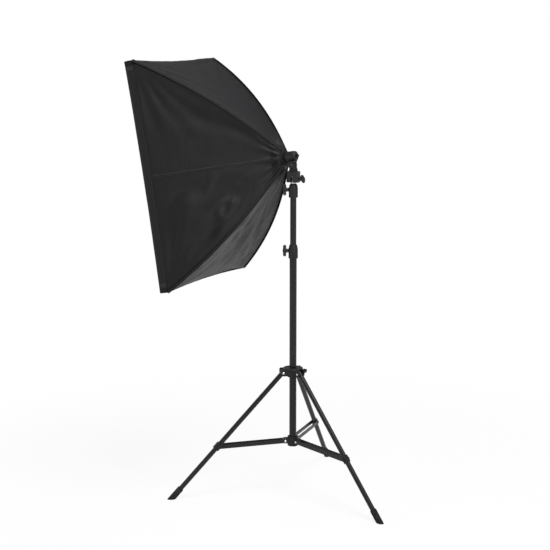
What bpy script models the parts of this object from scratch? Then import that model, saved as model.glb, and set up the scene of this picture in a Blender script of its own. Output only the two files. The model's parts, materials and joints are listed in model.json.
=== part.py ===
"""Rectangular softbox with its lamp head on a three-section light stand.

Metres, +Z up.  The column stands on the Z axis while the pieces are made, the softbox
faces -Y, and the whole part is moved at the end so that its box is centred on the origin.
"""
from math import atan2, cos, hypot, pi, radians, sin

import bmesh
import bpy
from mathutils import Matrix, Vector

# ---------------------------------------------------------------- driving sizes
SOFTBOX_WIDTH = 0.500
SOFTBOX_HEIGHT = 0.700
SOFTBOX_DEPTH = 0.359
LEG_LENGTH = 0.507
LEG_SPREAD = radians(42.4)
COLLAR_1_HEIGHT = 0.765
MID_TUBE_SHOWN = 0.1875
HEAD_TILT = radians(9.2)

# ---------------------------------------------------------------- clearances
GAP = 0.0003
HOLE_GAP = 0.0003
ROUND_SIDES = 24
SMALL_SIDES = 16
OVERRUN = 0.002
CHAMFER = 0.001

# ---------------------------------------------------------------- column
BASE_TUBE_RADIUS = 0.011
TUBE_WALL = 0.0012
TOP_TUBE_WALL = 0.001
MID_TUBE_LENGTH = 0.600
TOP_TUBE_LENGTH = 0.590
TUBE_STEP = 0.005
PLUG_FLANGE = 0.004
PLUG_DEPTH = 0.018

# ---------------------------------------------------------------- spreader
FIRST_LEG_AZIMUTH = radians(-52.7)
LEG_COUNT = 3
FOOT_AXIS_HEIGHT = 0.012
HUB_PIVOT_RADIUS = 0.032
LEG_RADIUS = 0.0075
LEG_WALL = 0.0012
LEG_ABOVE_PIVOT = 0.005
BRACE_ALONG_LEG = 0.3057
BRACE_DROP = 0.007
LOWER_PIVOT_RADIUS = 0.0255
STRIP_THICKNESS = 0.0016
STRIP_HALF_WIDTH = 0.006
LUG_HALF_WIDTH = 0.0092
LUG_HEIGHT = 0.016
RIVET_RADIUS = 0.002
RIVET_HEAD_RADIUS = 0.004
RIVET_HEAD_HEIGHT = 0.0013
HEAD_TAPER = 0.6
CLIP_LENGTH = 0.022
CLIP_DEPTH = 0.0195
FOOT_RADIUS = 0.0098
FOOT_SLEEVE = 0.028
FLOOR_CUT = 0.08

HUB_RADIUS = 0.0175
HUB_BELOW = 0.014
HUB_ABOVE = 0.0145
HUB_PLATE = 0.004
HUB_PLATE_RADIUS = 0.031
EAR_THICKNESS = 0.004
EAR_BELOW = 0.010
EAR_REACH = 0.009
EAR_DROP = 0.001
EAR_CORNER = 0.003
LOWER_HUB_RADIUS = 0.0165
LOWER_HUB_HALF = 0.013

# ---------------------------------------------------------------- knobs
STUD_RADIUS = 0.0025
KNOB_RADIUS = 0.0065
KNOB_LENGTH = 0.013
KNOB_SHOULDER = 0.003
KNOB_ROUNDING = 0.002
WING_THICKNESS = 0.006
WING_RISE = 0.010
HUB_KNOB_SPAN = 0.034
COLLAR_KNOB_SPAN = 0.036
SWIVEL_KNOB_SPAN = 0.028
TILT_KNOB_SPAN = 0.029
TILT_KNOB_RADIUS = 0.008
KNOB_BOSS_RADIUS = 0.006
BOSS_ROOT = 0.002
HUB_BOSS_END = 0.030
COLLAR_BOSS_END = 0.019
HUB_KNOB_AZIMUTH = radians(127.3)
COLLAR_KNOB_AZIMUTH = radians(-64.8)
HUB_KNOB_RISE = 0.002

# ---------------------------------------------------------------- collars
COLLAR_HALF = 0.020
COLLAR_SHOULDER = 0.007
COLLAR_WALL = 0.0035
COLLAR_2_WALL = 0.0045
COLLAR_LIP = 0.0022
COLLAR_TAPER = 0.9
COLLAR_NOSE = 0.004
COLLAR_NOSE_WALL = 0.0015

# ---------------------------------------------------------------- spigot and receiver
SPIGOT_HEIGHT = 0.026
SPIGOT_PLUG = 0.020
SPIGOT_SCREW_RADIUS = 0.0031
SPIGOT_SCREW = 0.007
SPIGOT_GROOVE = 0.001
GROOVE_LOW = 0.010
GROOVE_HIGH = 0.018
RECEIVER_ABOVE_TUBE = 0.0043
RECEIVER_HEIGHT = 0.033
RECEIVER_HALF_X = 0.014
RECEIVER_HALF_Y = 0.0185
RECEIVER_EDGE = 0.004
RECEIVER_SLOT = 0.007
RECEIVER_SLOT_HEIGHT = 0.018
SWIVEL_KNOB_RISE = 0.011
SWIVEL_STUD_SHOWN = 0.006
TONGUE_HALF = 0.004
TONGUE_RADIUS = 0.0085
NECK_HALF = 0.013
NECK_STEP = 0.003
PIVOT_ABOVE_RECEIVER = 0.018

# ---------------------------------------------------------------- lamp head
APEX_FORWARD = 0.0235
CHEEK_THICKNESS = 0.0042
CHEEK_GAP = 0.0004
WEB_CLEARANCE = 0.0007
SADDLE_BOTTOM = 0.0115
SADDLE_TOP = 0.020
SADDLE_FRONT = 0.011
SADDLE_BACK = 0.019
SADDLE_FOOT = 0.012
CHEEK_FRONT_RISE = 0.008
CHEEK_BACK_RISE = 0.006
FORK_REACH = 0.040
BOLT_RADIUS = 0.0025
BOLT_HEAD_RADIUS = 0.0055
BOLT_HEAD_HEIGHT = 0.0035
BOLT_BEYOND = 0.007
TILT_WING_START = 0.014
HOLDER_ROUND_CAP = 0.003
HOUSING_WALL = 0.0018
HOUSING_LENGTH = 0.032
HOUSING_BACK_WALL = 0.003
REAR_CAP_LENGTH = 0.007
REAR_CAP_RADIUS = 0.012
REAR_CAP_EDGE = 0.003
GLAND_RADIUS = 0.0048
GLAND_LENGTH = 0.006
GLAND_BORE = 0.0028
GLAND_FLOOR = 0.002
SHELL_WALL = 0.0005
SHELL_LENGTH = 0.022
SHELL_SET_BACK = 0.003
CONTACT_RADIUS = 0.004
CONTACT_HEIGHT = 0.0018
RING_BAND = 0.006
RING_THICKNESS = 0.006

# ---------------------------------------------------------------- softbox
ROD_RADIUS = 0.002
ROD_START_INSET = 0.0035
ROD_START_DEPTH = 0.008
ROD_BOW = 0.027
ROD_INSET = 0.0152
ROD_END_GAP = 0.005
ROD_END_SHARE = 0.01
ROD_POINTS = 24
BOSS_RADIUS = 0.0042
BOSS_BEHIND = 0.00585
BOSS_AHEAD = 0.00715
ROD_TIP_RADIUS = 0.0036
ROD_TIP_LENGTH = 0.014
CANOPY_WALL = 0.002
CANOPY_FIT = 0.0008
CANOPY_RINGS = 14
CANOPY_SIDE_STEPS = 5
ROUND_BACK_SHARE = 0.12
HEM_DEPTH = 0.028
HEM_WALL = 0.002
DIFFUSER_THICKNESS = 0.0015
DIFFUSER_BULGE = 0.006
DIFFUSER_SET_BACK = 0.009
DIFFUSER_STEPS = (6, 8)

# ---------------------------------------------------------------- lamp
LAMP_CAP_RADIUS = 0.0130
LAMP_CAP_LENGTH = 0.026
LAMP_THREAD_PITCH = 0.0036
LAMP_THREAD_DEPTH = 0.0008
LAMP_BASE_RADIUS = 0.026
LAMP_BASE_LENGTH = 0.058
SPIRAL_RADIUS = 0.021
SPIRAL_TUBE_RADIUS = 0.0055
SPIRAL_TURNS = 3.5
SPIRAL_PITCH = 0.030
SPIRAL_LEAD = 0.012
SPIRAL_LEAD_DROP = 0.004
SPIRAL_TOP_INSET = 0.45
SPIRAL_STEPS_PER_TURN = 16

# ---------------------------------------------------------------- worked-out places
HUB_PIVOT_HEIGHT = FOOT_AXIS_HEIGHT + LEG_LENGTH * cos(LEG_SPREAD)
CLIP_RADIUS = HUB_PIVOT_RADIUS + BRACE_ALONG_LEG * sin(LEG_SPREAD)
CLIP_HEIGHT = HUB_PIVOT_HEIGHT - BRACE_ALONG_LEG * cos(LEG_SPREAD)
LOWER_PIVOT_HEIGHT = CLIP_HEIGHT + BRACE_DROP
BRACE_LENGTH = hypot(CLIP_RADIUS - LOWER_PIVOT_RADIUS, BRACE_DROP)
BRACE_ANGLE = -atan2(BRACE_DROP, CLIP_RADIUS - LOWER_PIVOT_RADIUS)
STRIP_OFFSET = LUG_HALF_WIDTH + GAP + STRIP_THICKNESS / 2
RIVET_GRIP = LUG_HALF_WIDTH + GAP + STRIP_THICKNESS + GAP
LEG_AZIMUTHS = [FIRST_LEG_AZIMUTH + k * 2 * pi / LEG_COUNT for k in range(LEG_COUNT)]
BASE_TUBE_BOTTOM = LOWER_PIVOT_HEIGHT - LOWER_HUB_HALF
MID_TUBE_RADIUS = BASE_TUBE_RADIUS - TUBE_WALL - GAP
TOP_TUBE_RADIUS = MID_TUBE_RADIUS - TUBE_WALL - GAP
COLLAR_RADIUS = BASE_TUBE_RADIUS + COLLAR_WALL
COLLAR_2_RADIUS = MID_TUBE_RADIUS + COLLAR_2_WALL
COLLAR_2_HEIGHT = COLLAR_1_HEIGHT + MID_TUBE_SHOWN
MID_TUBE_TOP = COLLAR_2_HEIGHT - TUBE_STEP
TOP_TUBE_TOP = COLLAR_2_HEIGHT + COLLAR_HALF + COLLAR_LIP
SPIGOT_TOP = TOP_TUBE_TOP + GAP + SPIGOT_HEIGHT
RECEIVER_BOTTOM = TOP_TUBE_TOP + RECEIVER_ABOVE_TUBE
RECEIVER_TOP = RECEIVER_BOTTOM + RECEIVER_HEIGHT
SWIVEL_KNOB_HEIGHT = RECEIVER_BOTTOM + SWIVEL_KNOB_RISE
PIVOT_HEIGHT = RECEIVER_TOP + PIVOT_ABOVE_RECEIVER
HOUSING_RADIUS = LAMP_CAP_RADIUS + HOLDER_ROUND_CAP
AXIS_ABOVE_PIVOT = SADDLE_BOTTOM + HOUSING_RADIUS
RING_RADIUS = HOUSING_RADIUS + RING_BAND
ROD_START_RADIUS = RING_RADIUS - ROD_START_INSET
CORNER_ANGLE = atan2(SOFTBOX_HEIGHT, SOFTBOX_WIDTH)
CORNER_RADIUS = hypot(SOFTBOX_WIDTH, SOFTBOX_HEIGHT) / 2
CANOPY_DEPTH = SOFTBOX_DEPTH - HEM_DEPTH - GAP
CANOPY_BACK_RADIUS = RING_RADIUS + CANOPY_FIT + CANOPY_WALL
CORNER_ANGLES = [CORNER_ANGLE, pi - CORNER_ANGLE, pi + CORNER_ANGLE, -CORNER_ANGLE]


# ---------------------------------------------------------------- scene helpers
def clear_scene():
    for item in list(bpy.data.objects):
        bpy.data.objects.remove(item)


def material(name, colour, roughness, metallic=0.0):
    made = bpy.data.materials.new(name)
    made.use_nodes = True
    shader = made.node_tree.nodes["Principled BSDF"]
    shader.inputs["Base Color"].default_value = (*colour, 1.0)
    shader.inputs["Roughness"].default_value = roughness
    shader.inputs["Metallic"].default_value = metallic
    return made


def empty(name, parent=None, location=(0, 0, 0), rotation=(0, 0, 0)):
    made = bpy.data.objects.new(name, None)
    bpy.context.collection.objects.link(made)
    made.parent = parent
    made.location = location
    made.rotation_euler = rotation
    return made


def solid(name, mesh, look, parent, location=(0, 0, 0), rotation=(0, 0, 0)):
    made = bpy.data.objects.new(name, mesh)
    bpy.context.collection.objects.link(made)
    made.parent = parent
    made.location = location
    made.rotation_euler = rotation
    if look and not mesh.materials:
        mesh.materials.append(look)
    return made


def shaped(name, build):
    """A mesh made by build(bm), with its faces turned outward and smooth round sides."""
    bm = bmesh.new()
    build(bm)
    bmesh.ops.recalc_face_normals(bm, faces=bm.faces)
    mesh = bpy.data.meshes.new(name)
    bm.to_mesh(mesh)
    bm.free()
    mesh.shade_smooth()
    mesh.set_sharp_from_angle(angle=radians(35))
    return mesh


def tool(target, operation, build, location=(0, 0, 0), rotation=(0, 0, 0)):
    """Join or cut target with a hidden shape placed in target's own frame."""
    name = f"{target.name}_{operation.lower()}_{len(target.modifiers)}"
    shape = solid(name, shaped(name, build), None, target, location, rotation)
    shape.hide_render = True
    shape.display_type = "WIRE"
    step = target.modifiers.new(name, "BOOLEAN")
    step.operation = operation
    step.solver = "EXACT"
    step.object = shape
    return shape


# ---------------------------------------------------------------- shape helpers
def turned(bm, profile, sides=ROUND_SIDES):
    """Turn a profile of (radius, height) points about Z; it closes unless both ends are on Z."""
    verts = [bm.verts.new((radius, 0, height)) for radius, height in profile]
    edges = [bm.edges.new(pair) for pair in zip(verts, verts[1:])]
    if profile[0][0] > 0 or profile[-1][0] > 0:
        edges.append(bm.edges.new((verts[-1], verts[0])))
    bmesh.ops.spin(bm, geom=verts + edges, axis=(0, 0, 1), cent=(0, 0, 0),
                   angle=2 * pi, steps=sides, use_merge=True)
    bmesh.ops.remove_doubles(bm, verts=bm.verts, dist=1e-6)


def tube_profile(outer, inner, low, high):
    return [(inner, low), (outer, low), (outer, high), (inner, high)]


def disc_profile(radius, low, high):
    return [(0, low), (radius, low), (radius, high), (0, high)]


def box(bm, low, high):
    low = Vector(low)
    high = Vector(high)
    size = high - low
    place = Matrix.Translation((low + high) / 2) @ Matrix.Diagonal((*size, 1))
    bmesh.ops.create_cube(bm, size=1, matrix=place)


def cylinder(bm, radius, start, end, sides=SMALL_SIDES):
    start = Vector(start)
    end = Vector(end)
    turn = (end - start).to_track_quat("Z", "Y").to_matrix().to_4x4()
    bmesh.ops.create_cone(bm, cap_ends=True, segments=sides, radius1=radius, radius2=radius,
                          depth=(end - start).length,
                          matrix=Matrix.Translation((start + end) / 2) @ turn)


def plate(bm, outline, normal_axis, half):
    """Extrude a flat outline of 2-D points both ways along one axis ("X", "Y" or "Z")."""
    def place(point, along):
        first, second = point
        return {"X": (along, first, second), "Y": (first, along, second),
                "Z": (first, second, along)}[normal_axis]
    low = [bm.verts.new(place(point, -half)) for point in outline]
    face = bm.faces.new(low)
    grown = bmesh.ops.extrude_face_region(bm, geom=[face])
    raised = [item for item in grown["geom"] if isinstance(item, bmesh.types.BMVert)]
    shift = Vector(place((0, 0), 2 * half))
    bmesh.ops.translate(bm, verts=raised, vec=shift)


def arc(centre, radius, start, end, steps):
    return [(centre[0] + radius * cos(start + (end - start) * k / steps),
             centre[1] + radius * sin(start + (end - start) * k / steps))
            for k in range(steps + 1)]


def slot_outline(start, end, half_width, steps=6):
    """A straight bar with round ends, from start to end along the first axis."""
    return (arc((end, 0), half_width, -pi / 2, pi / 2, steps)
            + arc((start, 0), half_width, pi / 2, 3 * pi / 2, steps))


# ---------------------------------------------------------------- knobs
def wing_knob_mesh(name, stud_length, span, radius=KNOB_RADIUS, stud_radius=STUD_RADIUS):
    """A turned knob with its screw, pointing along +Z from the screw's tip."""
    head = stud_length + KNOB_LENGTH
    profile = [(0, 0), (stud_radius, 0), (stud_radius, stud_length), (radius, stud_length),
               (radius, head - KNOB_SHOULDER), (radius - KNOB_ROUNDING, head), (0, head)]
    return shaped(name, lambda bm: turned(bm, profile, SMALL_SIDES))


def wing_knob(name, look, parent, location, rotation, stud_length, span, spin):
    knob = solid(name, wing_knob_mesh(name, stud_length, span), look, parent,
                 location, rotation)
    middle = stud_length + KNOB_LENGTH - WING_RISE / 2 - CHAMFER
    outline = slot_outline(-span / 2 + WING_RISE / 2, span / 2 - WING_RISE / 2, WING_RISE / 2)
    tool(knob, "UNION", lambda bm: plate(bm, outline, "Y", WING_THICKNESS / 2),
         (0, 0, middle), (0, 0, spin))
    return knob


def outward(azimuth):
    """Rotation that lays +Z along the horizontal direction of an azimuth."""
    return (0, pi / 2, azimuth)


# ---------------------------------------------------------------- stand: base
def make_base(looks, root):
    bore = BASE_TUBE_RADIUS + GAP
    inner = BASE_TUBE_RADIUS - TUBE_WALL
    profile = tube_profile(BASE_TUBE_RADIUS, inner, BASE_TUBE_BOTTOM, COLLAR_1_HEIGHT)
    solid("base_tube", shaped("base_tube", lambda bm: turned(bm, profile)),
          looks["black metal"], root)

    hub_profile = tube_profile(LOWER_HUB_RADIUS, bore, -LOWER_HUB_HALF, LOWER_HUB_HALF)
    hub = solid("lower_hub", shaped("lower_hub", lambda bm: turned(bm, hub_profile)),
                looks["black plastic"], root, (0, 0, LOWER_PIVOT_HEIGHT))
    lug_outline = ([(bore + TUBE_WALL, LUG_HEIGHT / 2), (bore + TUBE_WALL, -LUG_HEIGHT / 2)]
                   + arc((LOWER_PIVOT_RADIUS, 0), LUG_HEIGHT / 2, -pi / 2, pi / 2, 6))
    for azimuth in LEG_AZIMUTHS:
        tool(hub, "UNION", lambda bm: plate(bm, lug_outline, "Y", LUG_HALF_WIDTH),
             rotation=(0, 0, azimuth))
    for azimuth in LEG_AZIMUTHS:
        tool(hub, "DIFFERENCE",
             lambda bm: cylinder(bm, RIVET_RADIUS + HOLE_GAP,
                                 (LOWER_PIVOT_RADIUS, -LUG_HALF_WIDTH - OVERRUN, 0),
                                 (LOWER_PIVOT_RADIUS, LUG_HALF_WIDTH + OVERRUN, 0)),
             rotation=(0, 0, azimuth))

    floor_of_plug = BASE_TUBE_BOTTOM - GAP - PLUG_FLANGE
    plug_radius = inner - GAP
    plug = [(0, floor_of_plug), (LOWER_HUB_RADIUS - CHAMFER, floor_of_plug),
            (LOWER_HUB_RADIUS, floor_of_plug + CHAMFER),
            (LOWER_HUB_RADIUS, BASE_TUBE_BOTTOM - GAP), (plug_radius, BASE_TUBE_BOTTOM - GAP),
            (plug_radius, BASE_TUBE_BOTTOM + PLUG_DEPTH), (0, BASE_TUBE_BOTTOM + PLUG_DEPTH)]
    solid("base_plug", shaped("base_plug", lambda bm: turned(bm, plug)),
          looks["black plastic"], root)


def rivet(name, look, parent, location, azimuth, half_grip):
    """A rivet lying across the azimuth, with a head at both ends."""
    head = half_grip + RIVET_HEAD_HEIGHT
    profile = [(0, -head), (RIVET_HEAD_RADIUS * HEAD_TAPER, -head), (RIVET_HEAD_RADIUS, -half_grip),
               (RIVET_RADIUS, -half_grip), (RIVET_RADIUS, half_grip),
               (RIVET_HEAD_RADIUS, half_grip), (RIVET_HEAD_RADIUS * HEAD_TAPER, head), (0, head)]
    mesh = shaped(name, lambda bm: turned(bm, profile, SMALL_SIDES))
    solid(name, mesh, look, parent, location, (pi / 2, 0, azimuth))


def collar(name, look, parent, height, radius, lower_radius, upper_radius):
    """A clamp collar: its lower bore grips one tube, its upper bore guides the next."""
    top = COLLAR_HALF + COLLAR_LIP - GAP
    profile = [(lower_radius + GAP, -COLLAR_HALF), (radius - CHAMFER, -COLLAR_HALF),
               (radius, -COLLAR_HALF + CHAMFER), (radius, COLLAR_SHOULDER),
               (radius * COLLAR_TAPER, COLLAR_HALF - COLLAR_NOSE),
               (upper_radius + GAP + COLLAR_NOSE_WALL, top),
               (upper_radius + GAP, top), (upper_radius + GAP, GAP), (lower_radius + GAP, GAP)]
    made = solid(name, shaped(name, lambda bm: turned(bm, profile)), look, parent,
                 (0, 0, height))
    tool(made, "UNION",
         lambda bm: cylinder(bm, KNOB_BOSS_RADIUS, (radius - BOSS_ROOT, 0, 0),
                             (COLLAR_BOSS_END, 0, 0)),
         (0, 0, COLLAR_SHOULDER / 2), (0, 0, COLLAR_KNOB_AZIMUTH))
    tool(made, "DIFFERENCE",
         lambda bm: cylinder(bm, STUD_RADIUS + HOLE_GAP, (upper_radius, 0, 0),
                             (COLLAR_BOSS_END + OVERRUN, 0, 0)),
         (0, 0, COLLAR_SHOULDER / 2), (0, 0, COLLAR_KNOB_AZIMUTH))
    return made


def collar_knob(name, look, parent, height, upper_radius, spin):
    """The knob's screw ends just short of the guided tube."""
    tip = upper_radius + GAP
    direction = Vector((cos(COLLAR_KNOB_AZIMUTH), sin(COLLAR_KNOB_AZIMUTH), 0))
    place = direction * tip + Vector((0, 0, height + COLLAR_SHOULDER / 2))
    wing_knob(name, look, parent, place, outward(COLLAR_KNOB_AZIMUTH),
              COLLAR_BOSS_END + GAP - tip, COLLAR_KNOB_SPAN, spin)


# ---------------------------------------------------------------- stand: spreader
def make_upper_hub(looks, slide):
    bore = BASE_TUBE_RADIUS + GAP
    profile = [(bore, -HUB_BELOW), (HUB_RADIUS, -HUB_BELOW),
               (HUB_RADIUS, HUB_ABOVE - HUB_PLATE), (HUB_PLATE_RADIUS, HUB_ABOVE - HUB_PLATE),
               (HUB_PLATE_RADIUS, HUB_ABOVE - CHAMFER), (HUB_PLATE_RADIUS - CHAMFER, HUB_ABOVE),
               (bore, HUB_ABOVE)]
    hub = solid("upper_hub", shaped("upper_hub", lambda bm: turned(bm, profile)),
                looks["black plastic"], slide)
    ear_middle = LEG_RADIUS + GAP + EAR_THICKNESS / 2
    ear = ([(bore + TUBE_WALL, HUB_ABOVE - CHAMFER), (bore + TUBE_WALL, -EAR_BELOW)]
           + arc((HUB_PIVOT_RADIUS, -EAR_DROP), EAR_REACH, -pi / 2, 0, 4)
           + [(HUB_PIVOT_RADIUS + EAR_REACH, HUB_ABOVE - CHAMFER - EAR_CORNER),
              (HUB_PIVOT_RADIUS + EAR_REACH - EAR_CORNER, HUB_ABOVE - CHAMFER)])

    def both_ears(bm):
        for side in (-1, 1):
            plate(bm, ear, "Y", EAR_THICKNESS / 2)
            fresh = [vert for vert in bm.verts if abs(vert.co.y) < EAR_THICKNESS]
            bmesh.ops.translate(bm, verts=fresh, vec=(0, side * ear_middle, 0))

    for azimuth in LEG_AZIMUTHS:
        tool(hub, "UNION", both_ears, rotation=(0, 0, azimuth))
    reach = LEG_RADIUS + GAP + EAR_THICKNESS + OVERRUN
    for azimuth in LEG_AZIMUTHS:
        tool(hub, "DIFFERENCE",
             lambda bm: cylinder(bm, RIVET_RADIUS + HOLE_GAP, (HUB_PIVOT_RADIUS, -reach, 0),
                                 (HUB_PIVOT_RADIUS, reach, 0)),
             rotation=(0, 0, azimuth))
    tool(hub, "UNION",
         lambda bm: cylinder(bm, KNOB_BOSS_RADIUS, (HUB_RADIUS - BOSS_ROOT, 0, 0),
                             (HUB_BOSS_END, 0, 0)),
         (0, 0, HUB_KNOB_RISE), (0, 0, HUB_KNOB_AZIMUTH))
    tool(hub, "DIFFERENCE",
         lambda bm: cylinder(bm, STUD_RADIUS + HOLE_GAP, (BASE_TUBE_RADIUS, 0, 0),
                             (HUB_BOSS_END + OVERRUN, 0, 0)),
         (0, 0, HUB_KNOB_RISE), (0, 0, HUB_KNOB_AZIMUTH))

    tip = BASE_TUBE_RADIUS + GAP
    direction = Vector((cos(HUB_KNOB_AZIMUTH), sin(HUB_KNOB_AZIMUTH), 0))
    wing_knob("hub_knob", looks["black plastic"], slide,
              direction * tip + Vector((0, 0, HUB_KNOB_RISE)), outward(HUB_KNOB_AZIMUTH),
              HUB_BOSS_END + GAP - tip, HUB_KNOB_SPAN, radians(70))


def leg_mesh():
    """A leg tube hanging down -Z from its pivot."""
    profile = tube_profile(LEG_RADIUS, LEG_RADIUS - LEG_WALL, -LEG_LENGTH, LEG_ABOVE_PIVOT)
    return shaped("leg", lambda bm: turned(bm, profile, SMALL_SIDES))


def make_leg(number, azimuth, looks, hub_slide):
    pivot = Vector((HUB_PIVOT_RADIUS * cos(azimuth), HUB_PIVOT_RADIUS * sin(azimuth), 0))
    rivet(f"leg_pin_{number}", looks["steel"], hub_slide, pivot, azimuth,
          LEG_RADIUS + GAP + EAR_THICKNESS + GAP)
    hinge = empty(f"leg_hinge_{number}", hub_slide, pivot, (0, -LEG_SPREAD, azimuth))
    leg = solid(f"leg_{number}", leg_mesh(), looks["black metal"], hinge)
    tool(leg, "DIFFERENCE",
         lambda bm: cylinder(bm, RIVET_RADIUS + HOLE_GAP, (0, -LEG_RADIUS - OVERRUN, 0),
                             (0, LEG_RADIUS + OVERRUN, 0)))

    clip = solid(f"clip_{number}", shaped("clip", clip_body), looks["black plastic"], hinge,
                 (0, 0, -BRACE_ALONG_LEG))
    tool(clip, "DIFFERENCE",
         lambda bm: cylinder(bm, LEG_RADIUS + GAP, (0, 0, -CLIP_LENGTH), (0, 0, CLIP_LENGTH)))

    beyond = FOOT_AXIS_HEIGHT / cos(LEG_SPREAD) + FOOT_RADIUS * 2
    foot = solid(f"foot_{number}",
                 shaped("foot", lambda bm: turned(
                     bm, disc_profile(FOOT_RADIUS, -beyond, FOOT_SLEEVE), SMALL_SIDES)),
                 looks["rubber"], hinge, (0, 0, -LEG_LENGTH))
    tool(foot, "DIFFERENCE",
         lambda bm: cylinder(bm, LEG_RADIUS + GAP, (0, 0, -GAP), (0, 0, FOOT_SLEEVE + OVERRUN)))
    floor_point = (0, 0, -FOOT_AXIS_HEIGHT / cos(LEG_SPREAD))
    tool(foot, "DIFFERENCE",
         lambda bm: box(bm, (-FLOOR_CUT, -FLOOR_CUT, -FLOOR_CUT), (FLOOR_CUT, FLOOR_CUT, 0)),
         floor_point, (0, LEG_SPREAD, 0))


def clip_body(bm):
    """A block round the leg with flat cheeks for the strips."""
    half_depth = CLIP_DEPTH / 2
    corner = 0.004
    outline = [(-half_depth + corner, -LUG_HALF_WIDTH), (half_depth - corner, -LUG_HALF_WIDTH),
               (half_depth, -LUG_HALF_WIDTH + corner), (half_depth, LUG_HALF_WIDTH - corner),
               (half_depth - corner, LUG_HALF_WIDTH), (-half_depth + corner, LUG_HALF_WIDTH),
               (-half_depth, LUG_HALF_WIDTH - corner), (-half_depth, -LUG_HALF_WIDTH + corner)]
    plate(bm, outline, "Z", CLIP_LENGTH / 2)


def make_brace(number, azimuth, looks, root):
    pivot = Vector((LOWER_PIVOT_RADIUS * cos(azimuth), LOWER_PIVOT_RADIUS * sin(azimuth),
                    LOWER_PIVOT_HEIGHT))
    rivet(f"brace_pin_{number}", looks["steel"], root, pivot, azimuth, RIVET_GRIP)
    hinge = empty(f"brace_hinge_{number}", root, pivot, (0, -BRACE_ANGLE, azimuth))
    for letter, side in (("a", -1), ("b", 1)):
        outline = slot_outline(0, BRACE_LENGTH, STRIP_HALF_WIDTH)
        strip = solid(f"brace_{number}{letter}",
                      shaped("brace", lambda bm: plate(bm, outline, "Y", STRIP_THICKNESS / 2)),
                      looks["black metal"], hinge, (0, side * STRIP_OFFSET, 0))
        tool(strip, "DIFFERENCE",
             lambda bm: cylinder(bm, RIVET_RADIUS + HOLE_GAP, (0, -OVERRUN, 0),
                                 (0, OVERRUN, 0)))
        head_end = side * (STRIP_THICKNESS / 2 + RIVET_HEAD_HEIGHT)
        tool(strip, "UNION",
             lambda bm: cylinder(bm, RIVET_HEAD_RADIUS, (BRACE_LENGTH, 0, 0),
                                 (BRACE_LENGTH, head_end, 0)))


# ---------------------------------------------------------------- stand: sliding column
def make_mid_section(looks, slide):
    low = MID_TUBE_TOP - MID_TUBE_LENGTH - COLLAR_2_HEIGHT
    high = MID_TUBE_TOP - COLLAR_2_HEIGHT
    inner = TOP_TUBE_RADIUS + GAP
    profile = tube_profile(MID_TUBE_RADIUS, inner, low, high)
    solid("mid_tube", shaped("mid_tube", lambda bm: turned(bm, profile)),
          looks["black metal"], slide)
    collar("collar_2", looks["black plastic"], slide, 0, COLLAR_2_RADIUS, MID_TUBE_RADIUS,
           TOP_TUBE_RADIUS)
    collar_knob("collar_2_knob", looks["black plastic"], slide, 0, TOP_TUBE_RADIUS,
                radians(28))


def make_top_section(looks, slide):
    """The top tube and its stud, in the frame of the tube's upper end."""
    inner = TOP_TUBE_RADIUS - TOP_TUBE_WALL
    profile = tube_profile(TOP_TUBE_RADIUS, inner, -TOP_TUBE_LENGTH, 0)
    solid("top_tube", shaped("top_tube", lambda bm: turned(bm, profile)),
          looks["black metal"], slide)
    plug = inner - GAP
    stud = [(0, -SPIGOT_PLUG), (plug, -SPIGOT_PLUG), (plug, GAP), (TOP_TUBE_RADIUS, GAP),
            (TOP_TUBE_RADIUS, GROOVE_LOW - SPIGOT_GROOVE),
            (TOP_TUBE_RADIUS - SPIGOT_GROOVE, GROOVE_LOW),
            (TOP_TUBE_RADIUS - SPIGOT_GROOVE, GROOVE_HIGH),
            (TOP_TUBE_RADIUS, GROOVE_HIGH + SPIGOT_GROOVE),
            (TOP_TUBE_RADIUS, SPIGOT_HEIGHT - CHAMFER),
            (TOP_TUBE_RADIUS - CHAMFER, SPIGOT_HEIGHT), (SPIGOT_SCREW_RADIUS, SPIGOT_HEIGHT),
            (SPIGOT_SCREW_RADIUS, SPIGOT_HEIGHT + SPIGOT_SCREW),
            (0, SPIGOT_HEIGHT + SPIGOT_SCREW)]
    solid("spigot", shaped("spigot", lambda bm: turned(bm, stud)), looks["steel"], slide)


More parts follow.
